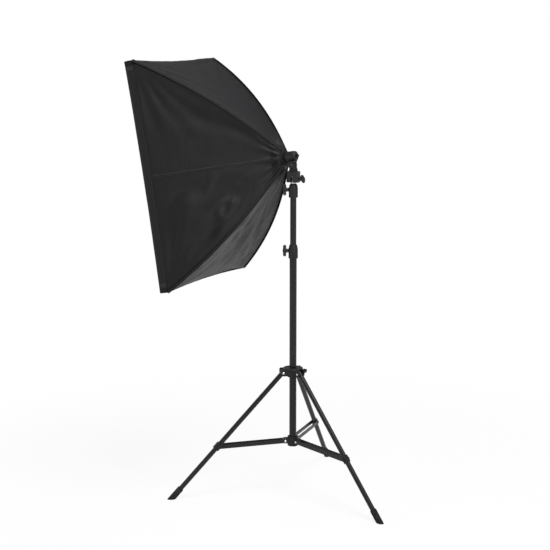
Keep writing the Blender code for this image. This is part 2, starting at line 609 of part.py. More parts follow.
# ---------------------------------------------------------------- head
def make_receiver(looks, swivel):
    """The block over the stud, with a slot at the bottom and a tongue on top."""
    half_x = RECEIVER_HALF_X
    half_y = RECEIVER_HALF_Y
    edge = RECEIVER_EDGE
    footprint = [(-half_x + edge, -half_y), (half_x - edge, -half_y), (half_x, -half_y + edge),
                 (half_x, half_y - edge), (half_x - edge, half_y), (-half_x + edge, half_y),
                 (-half_x, half_y - edge), (-half_x, -half_y + edge)]
    half_height = (RECEIVER_TOP - RECEIVER_BOTTOM) / 2
    middle = (RECEIVER_TOP + RECEIVER_BOTTOM) / 2
    body = solid("receiver", shaped("receiver", lambda bm: plate(bm, footprint, "Z",
                                                                 half_height)),
                 looks["black plastic"], swivel, (0, 0, middle))
    pivot = PIVOT_HEIGHT - middle
    neck = ([(-NECK_HALF, half_height - OVERRUN), (NECK_HALF, half_height - OVERRUN),
             (NECK_HALF, half_height + NECK_STEP)]
            + arc((0, pivot), TONGUE_RADIUS, 0, pi, 10)
            + [(-NECK_HALF, half_height + NECK_STEP)])
    tool(body, "UNION", lambda bm: plate(bm, neck, "X", TONGUE_HALF))
    tool(body, "DIFFERENCE",
         lambda bm: cylinder(bm, BOLT_RADIUS + HOLE_GAP, (-TONGUE_HALF - OVERRUN, 0, pivot),
                             (TONGUE_HALF + OVERRUN, 0, pivot)))
    bore_top = SPIGOT_TOP + GAP - middle
    screw_top = SPIGOT_TOP + SPIGOT_SCREW + GAP - middle
    bore = TOP_TUBE_RADIUS + HOLE_GAP
    hole = [(0, -half_height - OVERRUN), (bore, -half_height - OVERRUN), (bore, bore_top),
            (SPIGOT_SCREW_RADIUS + HOLE_GAP, bore_top),
            (SPIGOT_SCREW_RADIUS + HOLE_GAP, screw_top), (0, screw_top)]
    tool(body, "DIFFERENCE", lambda bm: turned(bm, hole))
    slot_top = -half_height + RECEIVER_SLOT_HEIGHT
    tool(body, "DIFFERENCE",
         lambda bm: box(bm, (-half_x - OVERRUN, -RECEIVER_SLOT / 2, -half_height - OVERRUN),
                        (half_x + OVERRUN, RECEIVER_SLOT / 2, slot_top)))
    tool(body, "DIFFERENCE",
         lambda bm: cylinder(bm, STUD_RADIUS + HOLE_GAP, (0, 0, 0),
                             (0, half_y + OVERRUN, 0)),
         (0, 0, SWIVEL_KNOB_HEIGHT - middle))
    tip = TOP_TUBE_RADIUS + GAP
    wing_knob("swivel_knob", looks["black plastic"], swivel, (0, tip, SWIVEL_KNOB_HEIGHT),
              outward(pi / 2), RECEIVER_HALF_Y + SWIVEL_STUD_SHOWN - tip, SWIVEL_KNOB_SPAN,
              radians(35))


def make_bracket(looks, tilt):
    """The fork on the tilt bolt; the lamp holder lies in its saddle."""
    half_x = TONGUE_HALF + CHEEK_GAP + CHEEK_THICKNESS
    outline = (arc((0, 0), TONGUE_RADIUS, pi, 2 * pi, 10)
               + [(TONGUE_RADIUS, CHEEK_FRONT_RISE), (SADDLE_FRONT, SADDLE_FOOT),
                  (SADDLE_FRONT, SADDLE_TOP), (-SADDLE_BACK, SADDLE_TOP),
                  (-SADDLE_BACK, SADDLE_FOOT), (-TONGUE_RADIUS, CHEEK_BACK_RISE)])
    bracket = solid("tilt_bracket",
                    shaped("tilt_bracket", lambda bm: plate(bm, outline, "X", half_x)),
                    looks["black plastic"], tilt)
    inside = TONGUE_HALF + CHEEK_GAP
    tool(bracket, "DIFFERENCE",
         lambda bm: box(bm, (-inside, -FORK_REACH, -FORK_REACH),
                        (inside, FORK_REACH, TONGUE_RADIUS + WEB_CLEARANCE)))
    tool(bracket, "DIFFERENCE",
         lambda bm: cylinder(bm, HOUSING_RADIUS + GAP, (0, -FORK_REACH, AXIS_ABOVE_PIVOT),
                             (0, FORK_REACH, AXIS_ABOVE_PIVOT), ROUND_SIDES))
    tool(bracket, "DIFFERENCE",
         lambda bm: cylinder(bm, BOLT_RADIUS + HOLE_GAP, (-half_x - OVERRUN, 0, 0),
                             (half_x + OVERRUN, 0, 0)))

    end = half_x + BOLT_BEYOND
    head = -half_x - GAP
    bolt = [(0, head - BOLT_HEAD_HEIGHT), (BOLT_HEAD_RADIUS * 0.7, head - BOLT_HEAD_HEIGHT),
            (BOLT_HEAD_RADIUS, head - BOLT_HEAD_HEIGHT * 0.5), (BOLT_HEAD_RADIUS, head),
            (BOLT_RADIUS, head), (BOLT_RADIUS, end), (0, end)]
    solid("tilt_bolt", shaped("tilt_bolt", lambda bm: turned(bm, bolt, SMALL_SIDES)),
          looks["steel"], tilt, rotation=(0, pi / 2, 0))

    start = half_x + GAP
    finish = TILT_WING_START + WING_RISE
    nut = [(0, start), (TILT_KNOB_RADIUS, start), (TILT_KNOB_RADIUS, finish - KNOB_SHOULDER),
           (TILT_KNOB_RADIUS - KNOB_SHOULDER, finish), (0, finish)]
    knob = solid("tilt_knob", shaped("tilt_knob", lambda bm: turned(bm, nut, SMALL_SIDES)),
                 looks["black plastic"], tilt, rotation=(0, pi / 2, 0))
    wings = slot_outline(-TILT_KNOB_SPAN / 2 + WING_RISE / 2,
                         TILT_KNOB_SPAN / 2 - WING_RISE / 2, WING_RISE / 2)
    tool(knob, "UNION", lambda bm: plate(bm, wings, "Y", WING_THICKNESS / 2),
         (0, 0, TILT_WING_START + WING_RISE / 2), (0, 0, radians(62)))
    tool(knob, "DIFFERENCE",
         lambda bm: cylinder(bm, BOLT_RADIUS + HOLE_GAP, (0, 0, start - OVERRUN),
                             (0, 0, end + GAP)))


def make_holder(looks, axis):
    """The lamp holder behind the apex, in a frame whose +Z points out of the softbox."""
    back = -HOUSING_LENGTH
    inner = HOUSING_RADIUS - HOUSING_WALL
    housing = [(0, back), (HOUSING_RADIUS - CHAMFER, back), (HOUSING_RADIUS, back + CHAMFER),
               (HOUSING_RADIUS, -GAP), (inner, -GAP), (inner, back + HOUSING_BACK_WALL),
               (0, back + HOUSING_BACK_WALL)]
    solid("socket_housing", shaped("socket_housing", lambda bm: turned(bm, housing)),
          looks["black plastic"], axis)

    cap_end = back - GAP - REAR_CAP_LENGTH
    cap = [(0, cap_end), (REAR_CAP_RADIUS, cap_end), (HOUSING_RADIUS - CHAMFER, cap_end + REAR_CAP_EDGE),
           (HOUSING_RADIUS - CHAMFER, back - GAP), (0, back - GAP)]
    solid("rear_cap", shaped("rear_cap", lambda bm: turned(bm, cap)),
          looks["black plastic"], axis)

    gland_end = cap_end - GAP - GLAND_LENGTH
    bore_floor = cap_end - GAP - GLAND_FLOOR
    gland = [(0, bore_floor), (GLAND_BORE, bore_floor), (GLAND_BORE, gland_end),
             (GLAND_RADIUS - CHAMFER, gland_end), (GLAND_RADIUS, gland_end + CHAMFER),
             (GLAND_RADIUS, cap_end - GAP), (0, cap_end - GAP)]
    solid("cord_gland", shaped("cord_gland", lambda bm: turned(bm, gland, SMALL_SIDES)),
          looks["black plastic"], axis)

    shell_outer = inner - GAP
    shell_front = -SHELL_SET_BACK
    shell = tube_profile(shell_outer, shell_outer - SHELL_WALL, shell_front - SHELL_LENGTH,
                         shell_front)
    solid("screw_shell", shaped("screw_shell", lambda bm: turned(bm, shell)),
          looks["steel"], axis)
    floor = back + HOUSING_BACK_WALL + GAP
    pad = disc_profile(CONTACT_RADIUS, floor, floor + CONTACT_HEIGHT)
    solid("contact", shaped("contact", lambda bm: turned(bm, pad, SMALL_SIDES)),
          looks["brass"], axis)


# ---------------------------------------------------------------- softbox
def bowed(start, end, bow, share):
    """A point on a bowed line in the (radius, depth) plane, bulging away from the axis."""
    along = Vector(end) - Vector(start)
    away = Vector((along.y, -along.x)).normalized()
    return Vector(start) + along * share + away * 4 * bow * share * (1 - share)


def rod_line(share):
    """The rod's centre line as (radius, depth)."""
    start = (ROD_START_RADIUS, ROD_START_DEPTH)
    end = (CORNER_RADIUS - ROD_INSET, CANOPY_DEPTH - ROD_END_GAP)
    return bowed(start, end, ROD_BOW, share)


def rod_point(angle, share):
    radius, depth = rod_line(share)
    return Vector((radius * cos(angle), radius * sin(angle), depth))


def make_ring(looks, axis):
    """The plate on the holder that carries the four rods in bored bosses."""
    bore = LAMP_CAP_RADIUS + HOLE_GAP * 3
    profile = tube_profile(RING_RADIUS, bore, 0, RING_THICKNESS)
    ring = solid("rod_ring", shaped("rod_ring", lambda bm: turned(bm, profile)),
                 looks["black plastic"], axis)
    for angle in CORNER_ANGLES:
        start = rod_point(angle, 0)
        direction = (rod_point(angle, ROD_END_SHARE) - start).normalized()
        root_end = start - direction * BOSS_BEHIND
        boss_end = start + direction * BOSS_AHEAD
        tool(ring, "UNION", lambda bm: cylinder(bm, BOSS_RADIUS, root_end, boss_end, 12))
        tool(ring, "DIFFERENCE",
             lambda bm: cylinder(bm, ROD_RADIUS + HOLE_GAP, start - direction * GAP,
                                 boss_end + direction * OVERRUN, 12))
    tool(ring, "DIFFERENCE",
         lambda bm: cylinder(bm, bore, (0, 0, -OVERRUN),
                             (0, 0, ROD_START_DEPTH + BOSS_AHEAD + OVERRUN), ROUND_SIDES))


def make_rod(number, angle, looks, axis):
    curve = bpy.data.curves.new(f"rod_{number}", "CURVE")
    curve.dimensions = "3D"
    curve.render_resolution_u = 0
    curve.bevel_depth = ROD_RADIUS
    curve.bevel_resolution = 1
    curve.use_fill_caps = True
    line = curve.splines.new("POLY")
    line.points.add(ROD_POINTS - 1)
    for index, point in enumerate(line.points):
        point.co = (*rod_point(angle, index / (ROD_POINTS - 1)), 1)
    curve.materials.append(looks["steel"])
    rod = bpy.data.objects.new(f"rod_{number}", curve)
    bpy.context.collection.objects.link(rod)
    rod.parent = axis

    end = rod_point(angle, 1)
    direction = (end - rod_point(angle, 1 - ROD_END_SHARE)).normalized()
    turn = direction.to_track_quat("Z", "Y").to_euler()
    tip = [(0, -ROD_TIP_LENGTH * 0.75), (ROD_TIP_RADIUS, -ROD_TIP_LENGTH * 0.75),
           (ROD_TIP_RADIUS, 0), (ROD_TIP_RADIUS * 0.7, ROD_TIP_LENGTH * 0.2),
           (0, ROD_TIP_LENGTH * 0.25)]
    cap = solid(f"rod_tip_{number}",
                shaped("rod_tip", lambda bm: turned(bm, tip, 12)),
                looks["black plastic"], axis, end, turn)
    tool(cap, "DIFFERENCE",
         lambda bm: cylinder(bm, ROD_RADIUS + HOLE_GAP * 2,
                             (0, 0, -ROD_TIP_LENGTH), (0, 0, GAP), 12))


def canopy_section(share, inset):
    """One ring of the cover: round at the back, a rectangle from a little way out."""
    radius, depth = bowed((CANOPY_BACK_RADIUS, 0), (CORNER_RADIUS, CANOPY_DEPTH), ROD_BOW,
                          share)
    blend = min(1, share / ROUND_BACK_SHARE)
    blend = blend * blend * (3 - 2 * blend)
    ring = []
    for side, start in enumerate(CORNER_ANGLES):
        end = CORNER_ANGLES[(side + 1) % 4]
        sweep = (end - start) % (2 * pi)
        for step in range(CANOPY_SIDE_STEPS):
            part = step / CANOPY_SIDE_STEPS
            angle = start + sweep * part
            circle = Vector((cos(angle), sin(angle)))
            first = Vector((cos(start), sin(start)))
            last = Vector((cos(end), sin(end)))
            ring.append(circle.lerp(first.lerp(last, part), blend) * radius)
    half_x = max(point.x for point in ring)
    half_y = max(point.y for point in ring)
    return [(point.x * (half_x - inset) / half_x, point.y * (half_y - inset) / half_y, depth)
            for point in ring]


def canopy_skin(bm):
    """The outer skin from back to front, then the inner skin from front to back."""
    shares = [(index / CANOPY_RINGS) ** 1.35 for index in range(CANOPY_RINGS + 1)]
    rings = ([canopy_section(share, 0) for share in shares]
             + [canopy_section(share, CANOPY_WALL) for share in reversed(shares)])
    rows = [[bm.verts.new(point) for point in ring] for ring in rings]
    for row, following in zip(rows, rows[1:] + rows[:1]):
        for k in range(len(row)):
            after = (k + 1) % len(row)
            bm.faces.new((row[k], row[after], following[after], following[k]))


def make_covers(looks, axis):
    solid("canopy", shaped("canopy", canopy_skin), looks["black fabric"], axis)

    half_x = SOFTBOX_WIDTH / 2
    half_y = SOFTBOX_HEIGHT / 2
    back = CANOPY_DEPTH + GAP
    hem = solid("hem", shaped("hem", lambda bm: box(bm, (-half_x, -half_y, back),
                                                    (half_x, half_y, back + HEM_DEPTH))),
                looks["black fabric"], axis)
    inner_x = half_x - HEM_WALL
    inner_y = half_y - HEM_WALL
    tool(hem, "DIFFERENCE",
         lambda bm: box(bm, (-inner_x, -inner_y, back - OVERRUN),
                        (inner_x, inner_y, back + HEM_DEPTH + OVERRUN)))

    sheet = solid("diffuser", shaped("diffuser", diffuser_skin), looks["white fabric"], axis)
    thick = sheet.modifiers.new("thickness", "SOLIDIFY")
    thick.thickness = DIFFUSER_THICKNESS
    thick.offset = -1


def diffuser_skin(bm):
    """A flat sheet inside the hem that bulges a little towards the front."""
    half_x = SOFTBOX_WIDTH / 2 - HEM_WALL - GAP
    half_y = SOFTBOX_HEIGHT / 2 - HEM_WALL - GAP
    steps_x, steps_y = DIFFUSER_STEPS
    bmesh.ops.create_grid(bm, x_segments=steps_x, y_segments=steps_y, size=1)
    for vert in bm.verts:
        across, up = vert.co.x, vert.co.y
        bulge = DIFFUSER_BULGE * (1 - across ** 2) * (1 - up ** 2)
        vert.co = (across * half_x, up * half_y, SOFTBOX_DEPTH - DIFFUSER_SET_BACK + bulge)


# ---------------------------------------------------------------- lamp
def make_lamp(looks, axis):
    tip = -LAMP_CAP_LENGTH + 0.0035
    profile = [(0, tip), (0.004, tip), (0.006, tip + 0.002), (LAMP_CAP_RADIUS - 0.002,
                                                             tip + 0.003)]
    height = tip + 0.004
    while height + LAMP_THREAD_PITCH < 0:
        profile.append((LAMP_CAP_RADIUS - LAMP_THREAD_DEPTH, height))
        profile.append((LAMP_CAP_RADIUS, height + LAMP_THREAD_PITCH / 2))
        height += LAMP_THREAD_PITCH
    shoulder = RING_THICKNESS
    profile += [(LAMP_CAP_RADIUS - LAMP_THREAD_DEPTH, height), (LAMP_CAP_RADIUS, 0),
                (LAMP_CAP_RADIUS, shoulder), (0, shoulder)]
    solid("lamp_cap", shaped("lamp_cap", lambda bm: turned(bm, profile)),
          looks["steel"], axis)

    start = shoulder + GAP
    end = start + LAMP_BASE_LENGTH
    base = [(0, start), (LAMP_CAP_RADIUS, start), (LAMP_CAP_RADIUS + CHAMFER, start + 0.012),
            (LAMP_BASE_RADIUS, start + 0.030), (LAMP_BASE_RADIUS, end - 0.003),
            (LAMP_BASE_RADIUS - 0.003, end), (0, end)]
    solid("lamp_base", shaped("lamp_base", lambda bm: turned(bm, base)),
          looks["white plastic"], axis)

    curve = bpy.data.curves.new("lamp_spiral", "CURVE")
    curve.dimensions = "3D"
    curve.render_resolution_u = 0
    curve.bevel_depth = SPIRAL_TUBE_RADIUS
    curve.bevel_resolution = 2
    curve.use_fill_caps = True
    points = spiral_points(end + GAP)
    line = curve.splines.new("POLY")
    line.points.add(len(points) - 1)
    for target, point in zip(line.points, points):
        target.co = (*point, 1)
    curve.materials.append(looks["lamp glass"])
    spiral = bpy.data.objects.new("lamp_spiral", curve)
    bpy.context.collection.objects.link(spiral)
    spiral.parent = axis


def spiral_points(foot):
    """Up one helix, across the top, and down a second one half a turn away."""
    low = foot + SPIRAL_LEAD
    count = int(SPIRAL_TURNS * SPIRAL_STEPS_PER_TURN)
    rise = SPIRAL_TURNS * SPIRAL_PITCH

    def on_helix(index, offset):
        turn = 2 * pi * index / SPIRAL_STEPS_PER_TURN + offset
        return Vector((SPIRAL_RADIUS * cos(turn), SPIRAL_RADIUS * sin(turn),
                       low + rise * index / count))

    up = [on_helix(index, 0) for index in range(count + 1)]
    down = [on_helix(index, pi) for index in range(count, -1, -1)]
    first = up[0]
    last = down[-1]
    lead_in = [Vector((first.x, first.y, foot)), Vector((first.x, first.y, low - SPIRAL_LEAD_DROP))]
    lead_out = [Vector((last.x, last.y, low - SPIRAL_LEAD_DROP)), Vector((last.x, last.y, foot))]
    top_height = low + rise + SPIRAL_TUBE_RADIUS
    across = [up[-1] * SPIRAL_TOP_INSET, down[0] * SPIRAL_TOP_INSET]
    for point in across:
        point.z = top_height
    return lead_in + up + across + down + lead_out


# ---------------------------------------------------------------- assembly
def make_looks():
    return {
        "black metal": material("black metal", (0.018, 0.018, 0.019), 0.38, 0.6),
        "black plastic": material("black plastic", (0.016, 0.016, 0.017), 0.45),
        "rubber": material("rubber", (0.02, 0.02, 0.02), 0.8),
        "steel": material("steel", (0.62, 0.62, 0.60), 0.25, 1.0),
        "brass": material("brass", (0.60, 0.45, 0.18), 0.3, 1.0),
        "black fabric": material("black fabric", (0.020, 0.020, 0.022), 0.6),
        "white fabric": material("white fabric", (0.80, 0.80, 0.80), 0.7),
        "white plastic": material("white plastic", (0.80, 0.80, 0.78), 0.4),
        "lamp glass": material("lamp glass", (0.88, 0.88, 0.84), 0.2),
    }


def world_points(item):
    finished = item.evaluated_get(bpy.context.evaluated_depsgraph_get())
    points = [item.matrix_world @ vert.co for vert in finished.to_mesh().vertices]
    finished.to_mesh_clear()
    return points


def centre_on_origin(root):
    """Move the whole part so that its box stands centred on the origin."""
    bpy.context.view_layer.update()
    points = [point for item in bpy.data.objects
              if item.type in {"MESH", "CURVE"} and not item.hide_render
              for point in world_points(item)]
    middle_x = (min(p.x for p in points) + max(p.x for p in points)) / 2
    middle_y = (min(p.y for p in points) + max(p.y for p in points)) / 2
    root.location = (-middle_x, -middle_y, 0)


def main():
    clear_scene()
    looks = make_looks()
    root = empty("stand_root")
    make_base(looks, root)
    collar("collar_1", looks["black plastic"], root, COLLAR_1_HEIGHT, COLLAR_RADIUS,
           BASE_TUBE_RADIUS, MID_TUBE_RADIUS)
    collar_knob("collar_1_knob", looks["black plastic"], root, COLLAR_1_HEIGHT,
                MID_TUBE_RADIUS, radians(28))

    hub_slide = empty("hub_slide", root, (0, 0, HUB_PIVOT_HEIGHT))
    make_upper_hub(looks, hub_slide)
    for number, azimuth in enumerate(LEG_AZIMUTHS, start=1):
        make_leg(number, azimuth, looks, hub_slide)
        make_brace(number, azimuth, looks, root)

    mid_slide = empty("mid_slide", root, (0, 0, COLLAR_2_HEIGHT))
    make_mid_section(looks, mid_slide)
    top_slide = empty("top_slide", mid_slide, (0, 0, TOP_TUBE_TOP - COLLAR_2_HEIGHT))
    make_top_section(looks, top_slide)

    swivel = empty("head_swivel", top_slide, (0, 0, -TOP_TUBE_TOP))
    make_receiver(looks, swivel)
    tilt = empty("head_tilt", swivel, (0, 0, PIVOT_HEIGHT), (HEAD_TILT, 0, 0))
    make_bracket(looks, tilt)
    axis = empty("softbox_axis", tilt, (0, -APEX_FORWARD, AXIS_ABOVE_PIVOT), (pi / 2, 0, 0))
    make_holder(looks, axis)
    make_ring(looks, axis)
    for number, angle in enumerate(CORNER_ANGLES, start=1):
        make_rod(number, angle, looks, axis)
    make_covers(looks, axis)
    make_lamp(looks, axis)
    centre_on_origin(root)


main()
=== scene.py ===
# %% [markdown]
# # A studio softbox on its light stand
#
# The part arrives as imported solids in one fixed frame. This lesson gives every surface its finish
# and builds the soft goods: the nylon cover, its seams, the hem and the white front sheet.
# Everything is in metres, +Z is up, and the softbox faces -Y.

# %% Load the frame
import json
from math import atan2, cos, exp, hypot, pi, radians, sin

import bmesh
import bpy
from mathutils import Matrix, Vector, noise


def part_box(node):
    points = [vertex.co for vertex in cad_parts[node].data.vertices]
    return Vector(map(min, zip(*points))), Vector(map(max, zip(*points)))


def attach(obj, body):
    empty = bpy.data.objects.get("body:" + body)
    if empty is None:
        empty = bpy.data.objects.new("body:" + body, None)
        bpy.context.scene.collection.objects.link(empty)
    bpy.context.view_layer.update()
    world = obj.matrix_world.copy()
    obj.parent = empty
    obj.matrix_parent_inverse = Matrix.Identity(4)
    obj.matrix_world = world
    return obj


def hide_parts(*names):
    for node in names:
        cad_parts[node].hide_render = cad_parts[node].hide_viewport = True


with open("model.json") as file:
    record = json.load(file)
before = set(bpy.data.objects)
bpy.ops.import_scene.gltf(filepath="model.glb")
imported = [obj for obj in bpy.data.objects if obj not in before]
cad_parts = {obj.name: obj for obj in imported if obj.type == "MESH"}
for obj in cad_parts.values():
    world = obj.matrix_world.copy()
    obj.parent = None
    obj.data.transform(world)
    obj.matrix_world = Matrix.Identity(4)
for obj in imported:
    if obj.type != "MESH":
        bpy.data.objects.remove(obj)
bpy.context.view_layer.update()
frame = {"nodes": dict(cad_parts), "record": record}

print("packed pieces:", len(frame["nodes"]))

# %% [markdown]
# ## Where the softbox is
#
# The soft pieces are drawn in a frame of their own, whose +Z comes out of the front of the softbox,
# +Y is up its face and +X is across it. It hangs on the tilt joint, so the joint's place in the
# record and three sizes of the head are all that is needed to put it in the room.

# %% The softbox's own frame
SOFTBOX_WIDTH = 0.500
SOFTBOX_HEIGHT = 0.700
SOFTBOX_DEPTH = 0.359
HEM_DEPTH = 0.028
COVER_DEPTH = SOFTBOX_DEPTH - HEM_DEPTH
HEAD_TILT = radians(9.2)
APEX_FORWARD = 0.0235
AXIS_ABOVE_PIVOT = 0.0275

joints = {joint["name"]: joint for joint in frame["record"]["behaviour"]["joints"]}
pivot = Vector(joints["head_tilt"]["pos_m"])
softbox_frame = (Matrix.Translation(pivot) @ Matrix.Rotation(HEAD_TILT, 4, "X")
                 @ Matrix.Translation((0, -APEX_FORWARD, AXIS_ABOVE_PIVOT))
                 @ Matrix.Rotation(pi / 2, 4, "X"))
column_low, column_high = (Vector(corner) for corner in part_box("base_tube"))
column = (column_low + column_high) / 2
print("tilt pivot at", [round(value, 4) for value in pivot])

# %% [markdown]
# ## The camera
#
# The stand is seen from behind its right side, at head height and a little above, from about four
# metres. A long lens from that distance keeps the legs' perspective mild. The camera looks at the
# middle of the part, so no lens shift is needed.

# %% Camera
CAMERA_FROM_COLUMN = Vector((3.724, 1.752, 1.412))
CAMERA_LENS = 89.0
AIM_FROM_COLUMN = Vector((0.0, -0.062, 0.688))

camera_data = bpy.data.cameras.new("camera")
camera_data.lens = CAMERA_LENS
camera_data.sensor_width = 36.0
camera = bpy.data.objects.new("camera", camera_data)
bpy.context.collection.objects.link(camera)
floor_under_column = Vector((column.x, column.y, 0))
camera.location = floor_under_column + CAMERA_FROM_COLUMN
aim = floor_under_column + AIM_FROM_COLUMN - camera.location
camera.rotation_euler = aim.to_track_quat("-Z", "Y").to_euler()
bpy.context.scene.camera = camera
bpy.context.scene.view_settings.view_transform = "Standard"
print("camera distance", round(aim.length, 3))

# %% [markdown]
# ## Shader sums in Python
#
# A finish is mostly arithmetic on noise. Wiring Math nodes by hand hides that, so one small class
# wraps a socket and lets Python's own operators add the nodes. It has only the operators that the
# finishes use, with their reflected forms, so that 0.5 + wave works as well as wave + 0.5.

# %% A socket that does sums
class Wire:
    """An output socket that works in Python sums."""

    def __init__(self, finish, socket):
        self.finish = finish
        self.socket = socket

    def maths(self, operation, *values):
        return self.finish.node("ShaderNodeMath", {"operation": operation},
                                dict(enumerate(values)))

    def sine(self):
        return self.maths("SINE", self)

    def __add__(self, other):
        return self.maths("ADD", self, other)

    def __sub__(self, other):
        return self.maths("SUBTRACT", self, other)

    def __rsub__(self, other):
        return self.maths("SUBTRACT", other, self)

    def __mul__(self, other):
        return self.maths("MULTIPLY", self, other)

    def __abs__(self):
        return self.maths("ABSOLUTE", self)

    __radd__ = __add__
    __rmul__ = __mul__


# %% [markdown]
# ## A finish and its nodes
#
# A finish is one material: its Principled shader and the nodes that feed it. Every node comes from
# one method, which puts the settings in first and then fills the sockets with numbers or wires.
# Noise, ramps, blends and relief get short names, because most finishes use them.

# %% A finish
class Finish:
    """One material: a Principled shader with the nodes that feed it."""

    def __init__(self, name, **constants):
        self.material = bpy.data.materials.new(name)
        self.material.use_nodes = True
        self.tree = self.material.node_tree
        self.shader = self.tree.nodes["Principled BSDF"]
        for socket, value in constants.items():
            self.shader.inputs[socket.replace("_", " ")].default_value = value

    def plug(self, target, value):
        if isinstance(value, Wire):
            self.tree.links.new(value.socket, target)
        else:
            target.default_value = value

    def node(self, kind, settings=None, inputs=None, output=0):
        made = self.tree.nodes.new(kind)
        for name, value in (settings or {}).items():
            if name == "stops":
                self.fill_ramp(made.color_ramp, value)
            else:
                setattr(made, name, value)
        for name, value in (inputs or {}).items():
            self.plug(made.inputs[name], value)
        return Wire(self, made.outputs[output])

    def fill_ramp(self, ramp, stops):
        """The two stops of a ramp between greys, the lower one first."""
        for element, (position, grey) in zip(ramp.elements, stops):
            element.position = position
            element.color = (grey, grey, grey, 1)

    def place(self, source="Object"):
        return self.node("ShaderNodeTexCoord", output=source)

    def noise(self, scale, detail=3.0, roughness=0.55, stretch=None):
        at = self.place()
        if stretch:
            at = self.node("ShaderNodeMapping", inputs={"Vector": at, "Scale": stretch})
        return self.node("ShaderNodeTexNoise", inputs={
            "Vector": at, "Scale": scale, "Detail": detail, "Roughness": roughness})

    def ramp(self, wire, *stops):
        return self.node("ShaderNodeValToRGB", {"stops": stops}, {"Fac": wire})

    def blend(self, mask, first, second):
        """Colour first where mask is 0, second where it is 1."""
        return self.node("ShaderNodeMix", {"data_type": "RGBA"},
                         {0: mask, 6: (*first, 1) if isinstance(first, tuple) else first,
                          7: (*second, 1) if isinstance(second, tuple) else second}, 2)

    def relief(self, height, distance, strength):
        bump = self.node("ShaderNodeBump", inputs={
            "Height": height, "Distance": distance, "Strength": strength})
        self.plug(self.shader.inputs["Normal"], bump)

    def feed(self, **sockets):
        for name, value in sockets.items():
            self.plug(self.shader.inputs[name.replace("_", " ")], value)
        return self.material


# %% [markdown]
# ## Powder coat
#
# The tubes and legs are steel with a satin black powder coat. Fine noise gives its orange peel, and
# two coarser ones, one of them drawn out along the tube, lighten the patches that hands have rubbed.

# %% Powder coat
def powder_coat():
    finish = Finish("powder coat", Metallic=0.0, Specular_IOR_Level=0.32)
    peel = finish.noise(1100.0, 2.0)
    patches = finish.noise(22.0, 4.0)
    streaks = finish.noise(60.0, 3.0, stretch=(6.0, 6.0, 0.35))
    rubbed = finish.ramp(patches * 0.6 + streaks * 0.4, (0.50, 0.0), (0.80, 1.0))
    colour = finish.blend(rubbed, (0.0055, 0.0055, 0.0060), (0.0150, 0.0150, 0.0158))
    finish.relief(peel, 0.00003, 0.2)
    return finish.feed(Base_Color=colour, Roughness=0.34 + patches * 0.10)


# %% [markdown]
# ## Moulded plastic
#
# Hubs, collars and knobs are moulded nylon. The mould leaves a fine grain, which matters more than
# the colour here: it breaks up the highlight and makes the black look dull next to the tubes.

# %% Moulded plastic
def moulded_plastic():
    finish = Finish("moulded plastic", Specular_IOR_Level=0.28)
    grain = finish.noise(1900.0, 3.0)
    cloud = finish.noise(30.0, 3.0)
    colour = finish.blend(cloud, (0.0055, 0.0055, 0.0060), (0.0130, 0.0130, 0.0138))
    finish.relief(grain, 0.00012, 0.45)
    return finish.feed(Base_Color=colour, Roughness=0.40 + grain * 0.16)


# %% [markdown]
# ## Rubber
#
# The feet are soft rubber, rough enough to have hardly any highlight. What shows on black rubber
# is the dust that it picks up from the floor, so noise spreads a lighter grey over part of it.

# %% Rubber
def rubber():
    finish = Finish("rubber", Specular_IOR_Level=0.2)
    grime = finish.noise(90.0, 5.0)
    floor_dust = finish.ramp(grime, (0.45, 0.0), (0.75, 1.0))
    colour = finish.blend(floor_dust, (0.009, 0.009, 0.009), (0.030, 0.029, 0.027))
    finish.relief(finish.noise(700.0, 4.0), 0.0002, 0.5)
    return finish.feed(Base_Color=colour, Roughness=0.72 + grime * 0.2)


# %% [markdown]
# ## Bright metal and lamp shells
#
# Studs, rivets and rods are zinc plated, and the lamp holder's contact is brass: both are one finish
# with other colours, brushed by noise that is drawn out one way. The lamp's glass and its plastic
# base are both smooth and white, so they share a finish as well, with a thin clear coat.

# %% Zinc plate, brass and lamp shells
def bright_metal(name, dark, light):
    finish = Finish(name, Metallic=1.0)
    brushed = finish.noise(900.0, 3.0, stretch=(1.0, 1.0, 0.12))
    stain = finish.noise(160.0, 3.0)
    finish.relief(brushed, 0.00004, 0.3)
    return finish.feed(Base_Color=finish.blend(stain, dark, light),
                       Roughness=0.16 + brushed * 0.2)


def lamp_shell(name, shade):
    finish = Finish(name, Coat_Weight=0.3)
    cloud = finish.noise(45.0, 2.0)
    warm = tuple(shade * tint for tint in (1.0, 0.99, 0.95))
    cool = tuple(value * 0.94 for value in warm)
    finish.relief(finish.noise(800.0, 2.0), 0.00005, 0.2)
    return finish.feed(Base_Color=finish.blend(cloud, warm, cool), Roughness=0.25 + cloud * 0.1)


# %% [markdown]
# ## Threads and stitches
#
# The cloth is plain-woven: warp and weft show as a fine grid that breaks the highlight into a satin
# glow. The grid is drawn on the pattern's own coordinates, which are metres along and across each
# panel, so the threads run with the panel and stay the same size everywhere. A stitched piece adds
# rows of thread, each stitch a short dash along the tape.

# %% Weave and stitches
THREAD_PITCH = 0.0009
TAPE_THREAD_PITCH = 0.0011
STITCH_PITCH = 0.0042
STITCH_WIDTH = 0.0007


def pattern_axes(finish):
    """Metres across and along the piece, as it was laid out flat."""
    flat = finish.place("UV")
    return [finish.node("ShaderNodeSeparateXYZ", inputs={0: flat}, output=axis)
            for axis in (0, 1)]


def weave(finish, pitch=THREAD_PITCH):
    """Threads going over and under each other, from 0 in the gaps to 1 on top."""
    across, along = pattern_axes(finish)
    turn = 2 * pi / pitch
    return 0.5 + 0.5 * ((across * turn).sine() * (along * turn).sine())


